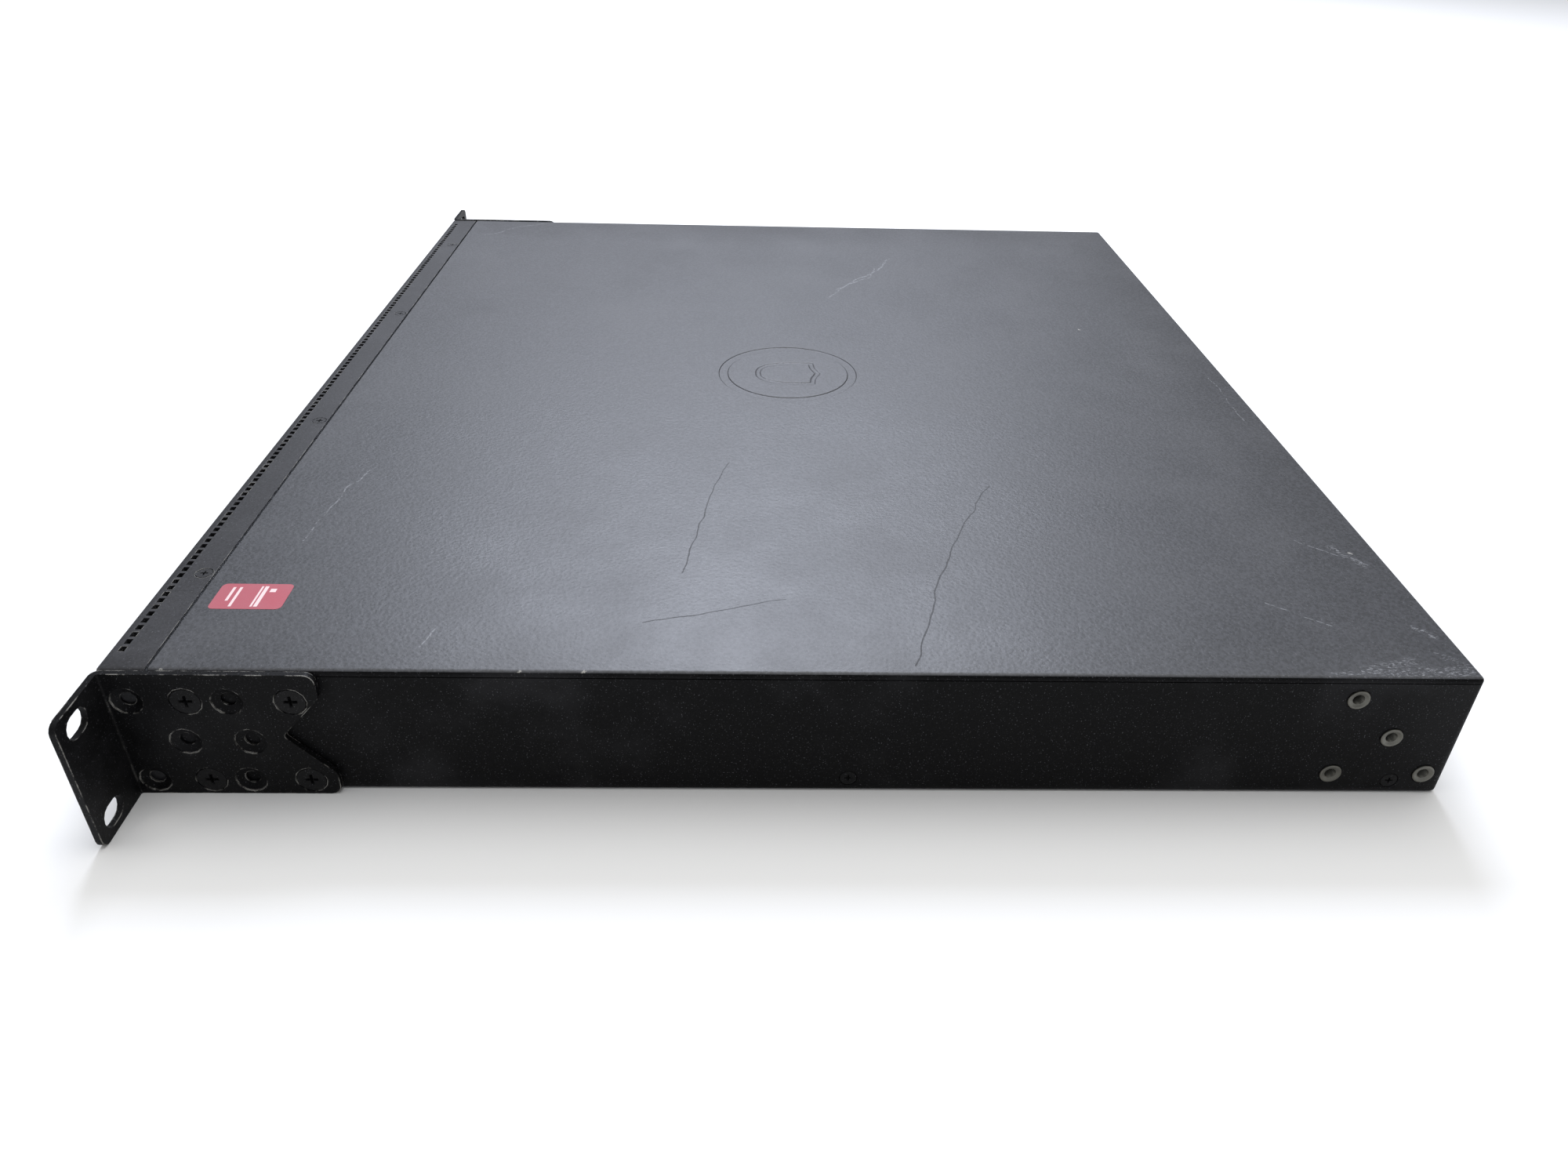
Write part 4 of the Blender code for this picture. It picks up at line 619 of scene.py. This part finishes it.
def makeCover():
    # Rays leave the badge's centre. Each has its circles round the badge, then runs to the edge of
    # the flat top, rolls down a quarter circle of the fold radius and ends in a short lip. The rays
    # fan out at the two rear corners. The front edge has no fold. The badge is a pressed band:
    # its depth comes and goes in eased steps of the distance from the centre.
    low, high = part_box("top_cover")
    fold, badge = coverSetup["fold"] * mm, np.array(coverSetup["badge"]) * mm
    x0, x1, y0, y1 = low.x + fold, high.x - fold, low.y, high.y - fold
    corners = np.array([(x0, y0), (x1, y0), (x1, y1), (x0, y1), (x0, y0)]) - badge
    turns = np.unwrap(np.arctan2(corners[:, 1], corners[:, 0]))
    outward = np.array([(0, -1), (1, 0), (0, 1), (-1, 0)], float)
    angles, normals, lips = [], [], []
    count, corner = coverSetup["raysPerSide"], coverSetup["cornerRays"]
    for side in range(4):
        angles.append(np.linspace(turns[side], turns[side + 1], count))
        normals.append(np.repeat(outward[side][None], count, axis=0))
        lips.append(np.full(count, float(side > 0)))
        if side in (1, 2):  # rear corners
            sweep = np.linspace(0, pi / 2, corner + 2)[1:-1, None]
            angles.append(np.full(corner, turns[side + 1]))
            normals.append(np.cos(sweep) * outward[side] + np.sin(sweep) * outward[side + 1])
            lips.append(np.ones(corner))
    angles, normals, lips = map(np.concatenate, (angles, normals, lips))
    ray = np.stack([np.cos(angles), np.sin(angles)], axis=1)
    span = np.where(ray > 0, (x1, y1), (x0, y0)) - badge
    rim = badge + ray * (span / np.where(ray == 0, 1e-9, ray)).min(1)[:, None]
    outer, inner, slope = coverSetup["badgeOuter"], coverSetup["badgeInner"], coverSetup["slope"]
    circles = np.unique(np.concatenate([
        np.linspace(0, 3, 6), np.linspace(3, 19, 54), np.linspace(19, inner - slope, 6),
        np.linspace(inner - slope, inner + slope, 7), np.linspace(outer - slope, outer + slope, 7),
        (34.0,)])) * mm
    flat = badge + circles[:, None, None] * ray
    distance = np.linalg.norm(flat - badge, axis=-1) / mm
    band = easeStep(distance, inner - slope / 2, inner + slope / 2) * (
        1 - easeStep(distance, outer - slope / 2, outer + slope / 2))
    mark = lineDistance((flat - badge) / mm, shieldLine(coverSetup["shieldSize"]))
    line = coverSetup["shieldLine"]
    depth = np.maximum(band, 1 - easeStep(mark, line, line + slope)) * coverSetup["press"] * mm
    inside = np.concatenate([flat, (high.z - depth)[..., None]], axis=-1)
    spread = np.linspace(0, 1, 9)[1:, None, None] ** 1.5
    apron = flat[-1] + spread * (rim - flat[-1])
    apron = np.concatenate([apron, np.full((*apron.shape[:2], 1), high.z)], axis=-1)
    roll = np.linspace(0, pi / 2, 7)[1:]
    out = np.concatenate([fold * np.sin(roll), np.full(1, fold)])
    down = np.concatenate([fold * (1 - np.cos(roll)), np.full(1, high.z - low.z)])
    edge = rim + (out[:, None] * lips)[..., None] * normals
    edge = np.concatenate([edge, (high.z - down[:, None] * lips)[..., None]], axis=-1)
    made = piece("top_cover_sheet", [np.concatenate([inside, apron, edge])], "cover", "top_cover",
                 True, crease=60, closed=False)
    # the folded edge takes the darker case look: painted shade where the fold turns away from the light
    made.data.materials.append(looks["case"])
    middles = np.empty(len(made.data.polygons) * 3)
    made.data.polygons.foreach_get("center", middles)
    made.data.polygons.foreach_set(
        "material_index", (middles[2::3] < high.z - coverSetup["edgeDrop"] * mm).astype(int))
    # the rim stays sharp, so the wall beside it doesn't shade the flat face
    edgeOfLoop = np.empty(len(made.data.loops), int)
    made.data.loops.foreach_get("edge_index", edgeOfLoop)
    alone = np.bincount(edgeOfLoop, minlength=len(made.data.edges)) == 1
    sharp = made.data.attributes["sharp_edge"]
    kept = np.zeros(len(made.data.edges), bool)
    sharp.data.foreach_get("value", kept)
    sharp.data.foreach_set("value", kept | alone)
    made.data.flip_normals()  # rows of rays that turn to the left face down
    wall = made.modifiers.new("sheet", "SOLIDIFY")
    wall.thickness, wall.offset = coverSetup["sheet"] * mm, -1
    return len(made.data.polygons)


print("top cover made:", makeCover(), "faces")

# screws
crossSetup = {  # all as shares of the head's radius
    "arm": 0.46, "width": 0.105, "depth": 0.34, "wall": 0.06, "rimDrop": 0.04,
    "cone": [(1, 0.04), (0.97, 0.1), (0.46, 0.55)], "shank": 0.46, "tip": 0.3,
}


def crossFace(centre, flat, out, radius, setup, below):
    # Rings round the middle. Their height is level less the cross: inside two crossed bars the floor
    # drops within a short wall, deepest in the middle. More rings of (radius, depth) come below it.
    side, third = np.eye(3)[flat[0]], np.eye(3)[flat[1]]
    turn = np.linspace(0, 2 * pi, 65) + 0.5
    rings = np.concatenate([np.linspace(0, 0.60, 17), np.linspace(0.70, 0.97, 4), (1.0,)]) * radius
    across, upward = rings[:, None] * np.cos(turn), rings[:, None] * np.sin(turn)
    wide, tall = np.abs(across) / radius, np.abs(upward) / radius
    arm, width = setup["arm"], setup["width"]
    inset = -np.minimum(np.maximum(wide - arm, tall - width), np.maximum(tall - arm, wide - width))
    cross = np.clip(inset / setup["wall"], 0, 1) * (1 - 0.5 * np.hypot(wide, tall) / arm)
    height = -np.clip(cross, 0, 1) * setup["depth"] * radius
    height[-1] -= setup["rimDrop"] * radius
    face = centre + across[..., None] * side + upward[..., None] * third + height[..., None] * out
    ring = np.cos(turn)[:, None] * side + np.sin(turn)[:, None] * third
    return np.concatenate([face, [centre - depth * out + reach * ring for reach, depth in below]])


def crossScrew(node, axis, look):
    # below the crossed face a cone narrows to the shank
    low, high = boxOf(node)
    out = np.array(axis, float)
    long = int(np.abs(out).argmax())
    centre = (low + high) / 2
    centre[long] = high[long] if out[long] > 0 else low[long]
    flat = [i for i in range(3) if i != long]
    radius, length = (high[flat[0]] - low[flat[0]]) / 2, high[long] - low[long]
    below = [(share * radius, depth * radius) for share, depth in crossSetup["cone"]]
    below += [(radius * crossSetup["shank"], length * 0.92), (radius * crossSetup["tip"], length),
              (0, length)]
    head = crossFace(centre, flat, out, radius, crossSetup, below)
    piece(node + "_head", [head], look, node, True, 40)


for node in sorted(cadNodes):
    if "strip_screw" in node:
        # the screws that face up take the lighter copy, a painted highlight
        crossScrew(node, (0, 0, 1), "stripScrew")
    elif "ear_screw" in node or "side_screw" in node:
        crossScrew(node, (1 if "right" in node else -1, 0, 0), "blackScrew")
print("screws made")


# label on the cover
def makeLabel():
    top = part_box("top_cover")[1].z
    x, y = labelSetup["middle"]
    width, height = labelSetup["size"]
    outline = roundedOutline(width * mm, height * mm, labelSetup["corner"] * mm, 7)
    film = labelSetup["film"] * mm
    sheet = slab(outline, (x * mm, y * mm, top + film / 2), film, "z", 0.03 * mm)
    piece("paper_label", [sheet], "label", "top_cover")


makeLabel()

# threaded steel inserts near the rear of both sides
insertSetup = {
    "places": [(158.1, 35.8), (158.1, 7.8), (186.1, 7.8), (172.1, 21.8)],  # y, z
    # radius and how far it stands out, from the wall over the rounded rim and the dished face
    "rim": [(3.2, -0.5), (3.2, 0.27), (3.08, 0.405), (2.85, 0.45), (2.5, 0.3825), (1.97, 0.045)],
    "bore": 1.72, "depth": 3.0, "pitch": 0.5, "threadDepth": 0.18, "lead": 0.1, "floor": 0.2,
}


def makeInserts():
    # a turned ring, then a bore whose radius follows a zigzag thread down to a flat floor
    bore, depth, pitch, ridge, lead, floor = (
        insertSetup[key] for key in ("bore", "depth", "pitch", "threadDepth", "lead", "floor"))
    thread = [(bore - ridge * (half % 2), -lead - half * pitch / 2)
              for half in range(int(depth / pitch) * 2 + 1)]
    profile = np.array([
        *insertSetup["rim"], (bore, 0), *thread, (bore, -depth - floor), (0, -depth - floor)]) * mm
    for side, word in ((1, "right"), (-1, "left")):
        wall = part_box("chassis_base")[1 if side > 0 else 0].x
        grids = [turned(profile, (wall, y * mm, z * mm), (side, 0, 0), 40)
                 for y, z in insertSetup["places"]]
        piece("rail_inserts_" + word, grids, "insert", "chassis_base", crease=25)


makeInserts()
print("label and inserts made")

# fan rotors and their wire guards
rotorSetup = {
    # radius and height of the hub and of the guard's middle
    "hub": [(0, -0.5), (4.4, -0.5), (4.8, 0), (6.1, 0), (6.8, -0.5), (7, -1.3), (7, -9.4),
            (6.5, -10), (0, -10)],
    "boss": [(0, -0.3), (6.5, -0.3), (6.4, 0.75), (5.9, 0.85), (5.2, 0.62), (0, 0.62)],
    "blades": 7, "root": 6.7, "tip": 15.9, "depth": 10.0,
    "chord": (9.0, 13.0), "pitch": (0.90, 0.50),  # at the root and at the tip; pitch in radians
    "camber": 0.9, "thick": 0.8, "sweep": 0.30,
    "guardRings": (9.4, 11.7, 14.0), "wire": 0.5, "guardInset": 0.6,
}


def fanRotor(node, joint):
    # The hub is a turned profile. A blade is an airfoil (a parabola of camber between two thin arcs)
    # carried outwards, with its chord, pitch and sweep changing evenly from root to tip.
    centre = np.array(joints[joint]["pos_m"])
    grids = [turned(np.array(rotorSetup["hub"]) * mm, centre, (0, 1, 0), 56)]
    reach = np.linspace(0, 1, 9)
    share = np.concatenate([np.linspace(0, 1, 9), np.linspace(1, 0, 9)[1:]])
    skin = np.concatenate([np.ones(9), -np.ones(8)])
    chord = np.interp(reach, (0, 1), rotorSetup["chord"])[:, None]
    pitch = np.interp(reach, (0, 1), rotorSetup["pitch"])[:, None]
    radius = np.interp(reach, (0, 1), (rotorSetup["root"], rotorSetup["tip"]))[:, None]
    along = (share - 0.5) * chord
    arch = np.clip(4 * share * (1 - share), 0, 1)
    bow = arch * rotorSetup["camber"] + skin * rotorSetup["thick"] / 2 * np.sqrt(arch)
    axial = along * np.sin(pitch) + bow * np.cos(pitch)
    sideways = along * np.cos(pitch) - bow * np.sin(pitch)
    for blade in range(rotorSetup["blades"]):
        angle = 2 * pi * blade / rotorSetup["blades"]
        angle = angle + rotorSetup["sweep"] * reach[:, None] + sideways / radius
        skinPoints = np.stack([
            radius * np.cos(angle), axial - rotorSetup["depth"] / 2, radius * np.sin(angle)], axis=-1)
        ends = [np.repeat(skinPoints[i].mean(0)[None, None], len(share), axis=1) for i in (0, -1)]
        grids.append(np.concatenate([ends[0], skinPoints, ends[1]]) * mm + centre)
    piece(node + "_wheel", grids, "fanPlastic", node, True, 50)


def fingerGuard(module, holder, joint, look):
    # rings, each a small circle turned round the axis, and a boss
    x, _, z = joints[joint]["pos_m"]
    centre = (x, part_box(holder)[1].y - rotorSetup["guardInset"] * mm, z)
    grids = [turned(circle(rotorSetup["wire"] * mm, 10) + (radius * mm, 0), centre, (0, 1, 0), 56)
             for radius in rotorSetup["guardRings"]]
    grids.append(turned(np.array(rotorSetup["boss"]) * mm, centre, (0, 1, 0), 48))
    piece(module + "_finger_guard", grids, look, holder)


fans = [(f"power_supply_{i}", "_housing", f"supply_{i}_fan_spin", "zinc") for i in (1, 2)]
fans += [(f"fan_module_{i}", "_frame", f"fan_{i}_spin", "fanPlastic") for i in (1, 2, 3)]
for module, holder, joint, look in fans:
    fanRotor(module + "_rotor", joint)
    fingerGuard(module, module + holder, joint, look)
print("fans made:", len(fans))

# knurled thumbscrews
thumbSetup = {
    "ridges": 30, "slant": 1.3, "cut": 0.2, "faceShare": 0.84,
    "cross": {**crossSetup, "arm": 0.62, "width": 0.13, "depth": 0.3},
    # depth below the face and how far inside the full radius, in mm
    "top": [(0.05, 0.57), (0.3, 0.24)], "root": [(4.5, 0.17), (4.9, 0.52)], "under": (0.17, 0.5),
    "knurl": (0.5, 4.3, 17), "inside": 0.02,
    "stub": 1.35, "stubTip": 1.0, "stubTop": 4.6, "stubChamfer": 0.3,
}


def thumbScrew(node):
    # the side is a tube whose radius drops by a diamond pattern: one less the product of two slanting
    # waves; a plain stub carries on below it
    low, high = boxOf(node)
    centre, radius = (low + high) / 2, (high[0] - low[0]) / 2
    out, face = np.array([0, 1.0, 0]), np.array([centre[0], high[1], centre[2]])
    inner, (edge, middle) = radius * thumbSetup["faceShare"], thumbSetup["under"]
    head = crossFace(
        face, (0, 2), out, inner, thumbSetup["cross"], [(inner, edge * mm), (0, middle * mm)])
    top, root, ridges = (thumbSetup[key] for key in ("top", "root", "ridges"))
    knurl = [(depth, thumbSetup["inside"]) for depth in np.linspace(*thumbSetup["knurl"])]
    level, drop = np.array([*top, *knurl, *root]).T[..., None]
    knurled = np.array([0] * len(top) + [1] * len(knurl) + [0] * len(root))[:, None]
    turn = np.linspace(0, 2 * pi, ridges * 6 + 1)
    waves = [np.abs(np.sin(ridges * turn / 2 + way * thumbSetup["slant"] * level)) for way in (1, -1)]
    drop = drop + knurled * thumbSetup["cut"] * (1 - waves[0] * waves[1])
    ring = np.stack([np.cos(turn), 0 * turn, np.sin(turn)], axis=-1)
    side = (radius - drop * mm)[..., None] * ring + face - level[..., None] * mm * out
    ends = [np.repeat((face - depth * mm * out)[None, None], len(turn), axis=1)
            for depth in (top[0][0] + 0.01, root[-1][0])]
    length, start = (high[1] - low[1]) / mm, -thumbSetup["stubTop"]
    wide, tip, chamfer = (thumbSetup[key] for key in ("stub", "stubTip", "stubChamfer"))
    profile = [(0, start), (wide, start), (wide, chamfer - length), (tip, -length), (0, -length)]
    grids = [head, np.concatenate([ends[0], side, ends[1]]), turned(np.array(profile) * mm, face, out, 32)]
    piece(node + "_knob", grids, "zinc", node, True, 32)


for number in (1, 2, 3):
    thumbScrew(f"fan_module_{number}_thumbscrew")

# supply handles, release latches and inlet pins
gripSetup = {
    "bend": 4.0, "tube": 1.5, "sunk": 0.2,
    "collar": [(0, -0.25), (2.3, -0.25), (2.3, 0.25), (1.9, 0.65), (0, 0.65)],  # radius, height
    "ribs": 5, "rib": 0.32, "ribSpan": (1.0, 4.6), "ribInset": 0.5,
    # pins: across and up from the middle, half size, and how far in they start and end
    "pins": ((-7, -2), (7, -2), (0, 2)), "pinSize": (1.03, 2.03), "pinRoot": 18.0, "pinTip": 3.9,
}


def wireHandle(node):
    # a round wire carried out of the face, up and back in, with a quarter circle at each corner
    low, high = boxOf(node)
    tube, bend, sunk = (gripSetup[key] * mm for key in ("tube", "bend", "sunk"))
    x, face, far = (low[0] + high[0]) / 2, low[1] - sunk, high[1] - tube
    bottom, top = low[2] + tube, high[2] - tube
    turn = np.linspace(0, pi / 2, 9)
    first = np.stack([far - bend + bend * np.sin(turn), bottom + bend - bend * np.cos(turn)], axis=1)
    second = np.stack([far - bend + bend * np.cos(turn), top - bend + bend * np.sin(turn)], axis=1)
    path = np.concatenate([[(face, bottom)], first, second, [(face, top)]])
    path = np.column_stack([np.full(len(path), x), path])
    collar = np.array(gripSetup["collar"]) * mm
    grids = [carried(path, circle(tube, 20), (1, 0, 0))]
    grids += [turned(collar, (x, low[1], z), (0, 1, 0), 28) for z in (bottom, top)]
    piece(node + "_bail", grids, "zinc", node, True, 40)


def ribbedLatch(node):
    low, high = boxOf(node)
    rib, inset = gripSetup["rib"] * mm, gripSetup["ribInset"] * mm
    grids = [block(low, high - (0, 0, rib), 0.9 * mm, 0.3 * mm)]
    for depth in np.linspace(*gripSetup["ribSpan"], gripSetup["ribs"]):
        path = [(x, high[1] - depth * mm, high[2] - rib)
                for x in np.linspace(low[0] + inset, high[0] - inset, 5)]
        grids.append(carried(path, circle(rib, 12)))
    piece(node + "_tab", grids, "latch", node, True, 40)


def inletPins(node):
    low, high = boxOf(node)
    depths = [high[1] - gripSetup[key] * mm for key in ("pinRoot", "pinTip")]
    grids = [bar((low + high)[::2] / 2, place, gripSetup["pinSize"], depths, 0.6, 0.5)
             for place in gripSetup["pins"]]
    piece(node + "_pins", grids, "shell", node)


for number in (1, 2):
    wireHandle(f"power_supply_{number}_handle")
    ribbedLatch(f"power_supply_{number}_latch")
    inletPins(f"power_supply_{number}_inlet")
print("thumbscrews, handles, latches and pins made")

# what stands in the sockets
portSetup = {
    "clearance": 0.3,  # the stated spaces are this much smaller than the sockets all round
    "floor": 0.6, "contacts": 8, "contactPitch": 1.02, "contactWire": (0.22, 0.12),
    # a lamp's middle from the socket's, its half size, and how far it stands out and in
    "lampAt": (4.1, 6.0), "lamp": (1.3, 0.65), "lampDepths": (-0.15, 0.2),
    # half an outline of the tab notch, from the top corner down: inner and outer points
    "notch": [((5.7, 4.2), (6.03, 4.58)), ((5.7, -2.0), (6.03, -2.0)), ((3.2, -2.0), (6.03, -4.58)),
              ((3.2, -3.1), (3.4, -4.58)), ((2.0, -3.1), (2.2, -4.58)), ((2.0, -4.3), (2.0, -4.58))],
    "contactPath": [(1.5, 4.05), (2.3, 3.95), (8.4, 0.6), (11.4, -0.6), (13.1, -0.8)],  # depth, height
    # transceiver cages: the lip round the mouth (larger by, radius), and sprung fingers
    "lip": (0.9, 0.9), "mouth": (-0.1, 0.3), "lipDepths": (0.6, 0.0, -0.35),
    "fingers": 5, "fingerSpread": 0.38, "fingerLeaf": (0.7, 0.1),
    "fingerPath": [(0.3, 0.15), (1.5, 0.5), (3.0, 0.7), (4.5, 0.45), (6.0, 0.1)],  # depth, inset
    "connectorAt": (0, -1.0), "connector": (5.4, 1.6), "connectorDepth": 8,
    "tongueAt": (0, 1.1), "tongue": (4.9, 0.9), "tongueDepth": 1.2,
    "usbContacts": (-3.5, -1.0, 1.0, 3.5), "usbContactHalf": 0.5, "usbContactDepths": (1.9, 2.0),
    "usbContactLevels": (0.08, 0.25),
}


def socketBoxes(word):
    grow = np.array((portSetup["clearance"],) * 3) * mm
    return [(np.array(low) - grow * (1, 0, 1), np.array(high) + grow)
            for name, (low, high) in sorted(sockets.items()) if name.startswith(word)]


def standing(rows, middle):  # outlines (x, z) set up at their depths round the middle
    return np.stack([np.column_stack([
        flat[:, 0] + middle[0], np.full(len(flat), depth), flat[:, 1] + middle[2]])
        for flat, depth in rows])


def plugLiner(middle, face, back, way):
    # rows of one closed shell: round the outside to the face, then in along the notched outline
    half = np.array(portSetup["notch"], float) * mm
    loop = np.concatenate([half, half[::-1] * (-1, 1), half[:1]])
    inner, outer = loop[:, 0], loop[:, 1]
    floor = back - portSetup["floor"] * mm
    rows = [(0 * outer, back), (outer, back), (outer, face), (inner, face), (inner, floor),
            (0 * inner, floor)]
    return standing([(flat * (1, way), depth) for flat, depth in rows], middle)


def fillSockets(node, word):
    liners, contacts, greens, ambers = [], [], [], []
    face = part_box(node)[0].y
    boxes = socketBoxes(word)
    band = np.mean([(low[2] + high[2]) / 2 for low, high in boxes])
    wire, last = oblong(*portSetup["contactWire"]), portSetup["contacts"] - 1
    across, upward = portSetup["lampAt"]
    for low, high in boxes:
        middle = (low + high) / 2
        way = 1 if middle[2] < band else -1
        liners.append(plugLiner(middle, face + 0.1 * mm, high[1] - 0.05 * mm, way))
        for number in range(last + 1):
            x = middle[0] + (number - last / 2) * portSetup["contactPitch"] * mm
            contacts.append(carried([(x, face + depth * mm, middle[2] + way * height * mm)
                                     for depth, height in portSetup["contactPath"]], wire))
        for side, lamps in ((-1, greens), (1, ambers)):
            lamps.append(bar(middle[::2], (side * across, way * upward), portSetup["lamp"],
                             [face + depth * mm for depth in portSetup["lampDepths"]], 0.2, 0.1))
    piece(node + "_liners", liners, "blackPlastic", node, crease=30)
    piece(node + "_contacts", contacts, "gold", node, crease=50)
    piece(node + "_green_lamps", greens, "greenLens", node)
    piece(node + "_amber_lamps", ambers, "amberLens", node)


def fillCages(node):
    # a pressed frame round each mouth, with sprung fingers curling in at its top and bottom
    springs, connectors = [], []
    face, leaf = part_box(node)[0].y, oblong(*portSetup["fingerLeaf"])
    inward, level, outward = (face + depth * mm for depth in portSetup["lipDepths"])
    for low, high in socketBoxes("sfp_socket"):
        middle, width, height = (low + high) / 2, high[0] - low[0], high[2] - low[2]
        outer, inner = (roundedOutline(width + more * mm, height + more * mm, radius * mm, 4)
                        for more, radius in (portSetup["lip"], portSetup["mouth"]))
        rows = [(inner, inward), (outer, level), (outer, outward), (inner, outward), (inner, inward)]
        springs.append(standing(rows, middle))
        spread = portSetup["fingerSpread"]
        for way in (-1, 1):
            for place in np.linspace(-spread, spread, portSetup["fingers"]) * width:
                springs.append(carried([
                    (middle[0] + place, face + depth * mm, middle[2] + way * (height / 2 - inset * mm))
                    for depth, inset in portSetup["fingerPath"]], leaf))
        connectors.append(bar(middle[::2], portSetup["connectorAt"], portSetup["connector"],
                              (high[1] - portSetup["connectorDepth"] * mm, high[1]), 0.3, 0.2))
    piece(node + "_springs", springs, "shell", node)
    piece(node + "_connectors", connectors, "blackPlastic", node)


def fillUsb(node):
    tongues, contacts = [], []
    face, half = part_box(node)[0].y, portSetup["usbContactHalf"]
    front, back = portSetup["usbContactDepths"]
    bottom, top = portSetup["usbContactLevels"]
    for low, high in socketBoxes("usb_socket"):
        x, _, z = (low + high) / 2
        tongues.append(bar((x, z), portSetup["tongueAt"], portSetup["tongue"],
                           (face + portSetup["tongueDepth"] * mm, high[1]), 0.4, 0.2))
        contacts += [block((x + (place - half) * mm, face + front * mm, z + bottom * mm),
                           (x + (place + half) * mm, high[1] - back * mm, z + top * mm),
                           0.1 * mm, 0.04 * mm) for place in portSetup["usbContacts"]]
    piece(node + "_tongues", tongues, "blackPlastic", node)
    piece(node + "_contacts", contacts, "gold", node)


fillSockets("lan_ports", "lan_socket")
fillSockets("console_ports", "console_socket")
fillCages("sfp_cages")
fillUsb("usb_ports")
print("sockets filled")

# status lenses and the reset cap
frontSetup = {
    "lenses": ("greenLens", "greenLens", "amberLens", "greenLens"),  # from the lowest up
    "middle": 22.25, "pitch": 5.5, "lensRadius": 1.34, "dome": 0.42, "sunk": 0.3,
    # the reset cap's radius and height, with a dished end
    "cap": [(0, -0.3), (1.0, -0.25), (1.6, 0), (1.85, -0.12), (2.0, -0.4), (2.0, -2.5), (3.0, -2.5),
            (3.0, -6.0), (0, -6.0)],
}


def makeLenses():  # each dome is a quarter ellipse turned round its axis
    low, high = boxOf("status_lights")
    x = (low[0] + high[0]) / 2
    radius, dome, sunk = (frontSetup[key] * mm for key in ("lensRadius", "dome", "sunk"))
    arc = [(radius * cos(angle), dome * sin(angle)) for angle in np.linspace(0, pi / 2, 7)[:-1]]
    profile = [(0, -sunk), (radius, -sunk), *arc, (0, dome)]
    for number, look in enumerate(frontSetup["lenses"]):
        place = number - (len(frontSetup["lenses"]) - 1) / 2
        level = (frontSetup["middle"] + place * frontSetup["pitch"]) * mm
        grid = turned(profile, (x, low[1], level), (0, -1, 0), 32)
        piece(f"status_lens_{number + 1}", [grid], look, "status_lights")


def makeResetCap():
    low, high = boxOf("reset_button")
    x, _, z = (low + high) / 2
    cap = turned(np.array(frontSetup["cap"]) * mm, (x, low[1], z), (0, -1, 0), 40)
    piece("reset_button_cap", [cap], "blackPlastic", "reset_button", True, 30)


makeLenses()
makeResetCap()

# small parts on the main board
boardSetup = {
    "seed": 7, "tries": 190, "margin": 2.0, "border": 6.0, "tallest": 6.0,
    # kind: look, least and most width, height, share of the draws
    "kinds": {
        "chips": ("chip", (5, 14), 1.4, 0.22),
        "inductors": ("chip", (6, 8), 3.6, 0.12),
        "small_parts": ("tape", (1.6, 3.0), 0.9, 0.42),
        "shields": ("shell", (12, 20), 2.6, 0.06),
        "cans": ("canAluminium", (6, 8), 8.3, 0.18),
    },
    # a can's side: how far inside its radius, and height
    "can": [(0, 0), (0, 1.2), (0.3, 1.5), (0, 1.8), (0, 8.0), (0.4, 8.4), (0.9, 8.3)],
}


def makeBoardParts():
    # places drawn in seeded order; one that comes near a node or an earlier part is passed over
    rng, kinds = np.random.default_rng(boardSetup["seed"]), boardSetup["kinds"]
    low, high = boxOf("main_board")
    top = high[2]
    margin, border, tallest = (boardSetup[key] * mm for key in ("margin", "border", "tallest"))
    taken = [(a[0] - margin, a[1] - margin, b[0] + margin, b[1] + margin) for name in cadNodes
             for a, b in (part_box(name),) if b[2] > top + 0.1 * mm and a[2] < top + tallest
             and name not in ("chassis_base", "front_panel", "top_cover", "main_board")]
    grids = {kind: [] for kind in kinds}
    for _ in range(boardSetup["tries"]):
        kind = list(kinds)[rng.choice(len(kinds), p=[row[-1] for row in kinds.values()])]
        _, span, height, _ = kinds[kind]
        size = rng.uniform(*span, 2) * mm
        place = low[:2] + border + rng.random(2) * (high[:2] - low[:2] - 2 * border - size)
        box = (*place, *(place + size))
        if any(box[0] < t[2] and box[2] > t[0] and box[1] < t[3] and box[3] > t[1] for t in taken):
            continue
        taken.append((*(place - margin / 2), *(place + size + margin / 2)))
        if kind == "cans":
            radius = size.min() / 2 / mm
            side = [(radius - inset, level) for inset, level in boardSetup["can"]]
            can = [(0, 0), *side, (0, height)]
            grids[kind].append(turned(np.array(can) * mm, (*(place + size / 2), top), (0, 0, 1), 24))
        else:
            grids[kind].append(block(
                (*place, top), (*(place + size), top + height * mm), 0.3 * mm, 0.15 * mm))
    for kind, shapes in grids.items():
        piece("board_" + kind, shapes, kinds[kind][0], "main_board")
    return sum(map(len, grids.values()))


print("board parts made:", makeBoardParts())

print("pieces ready")
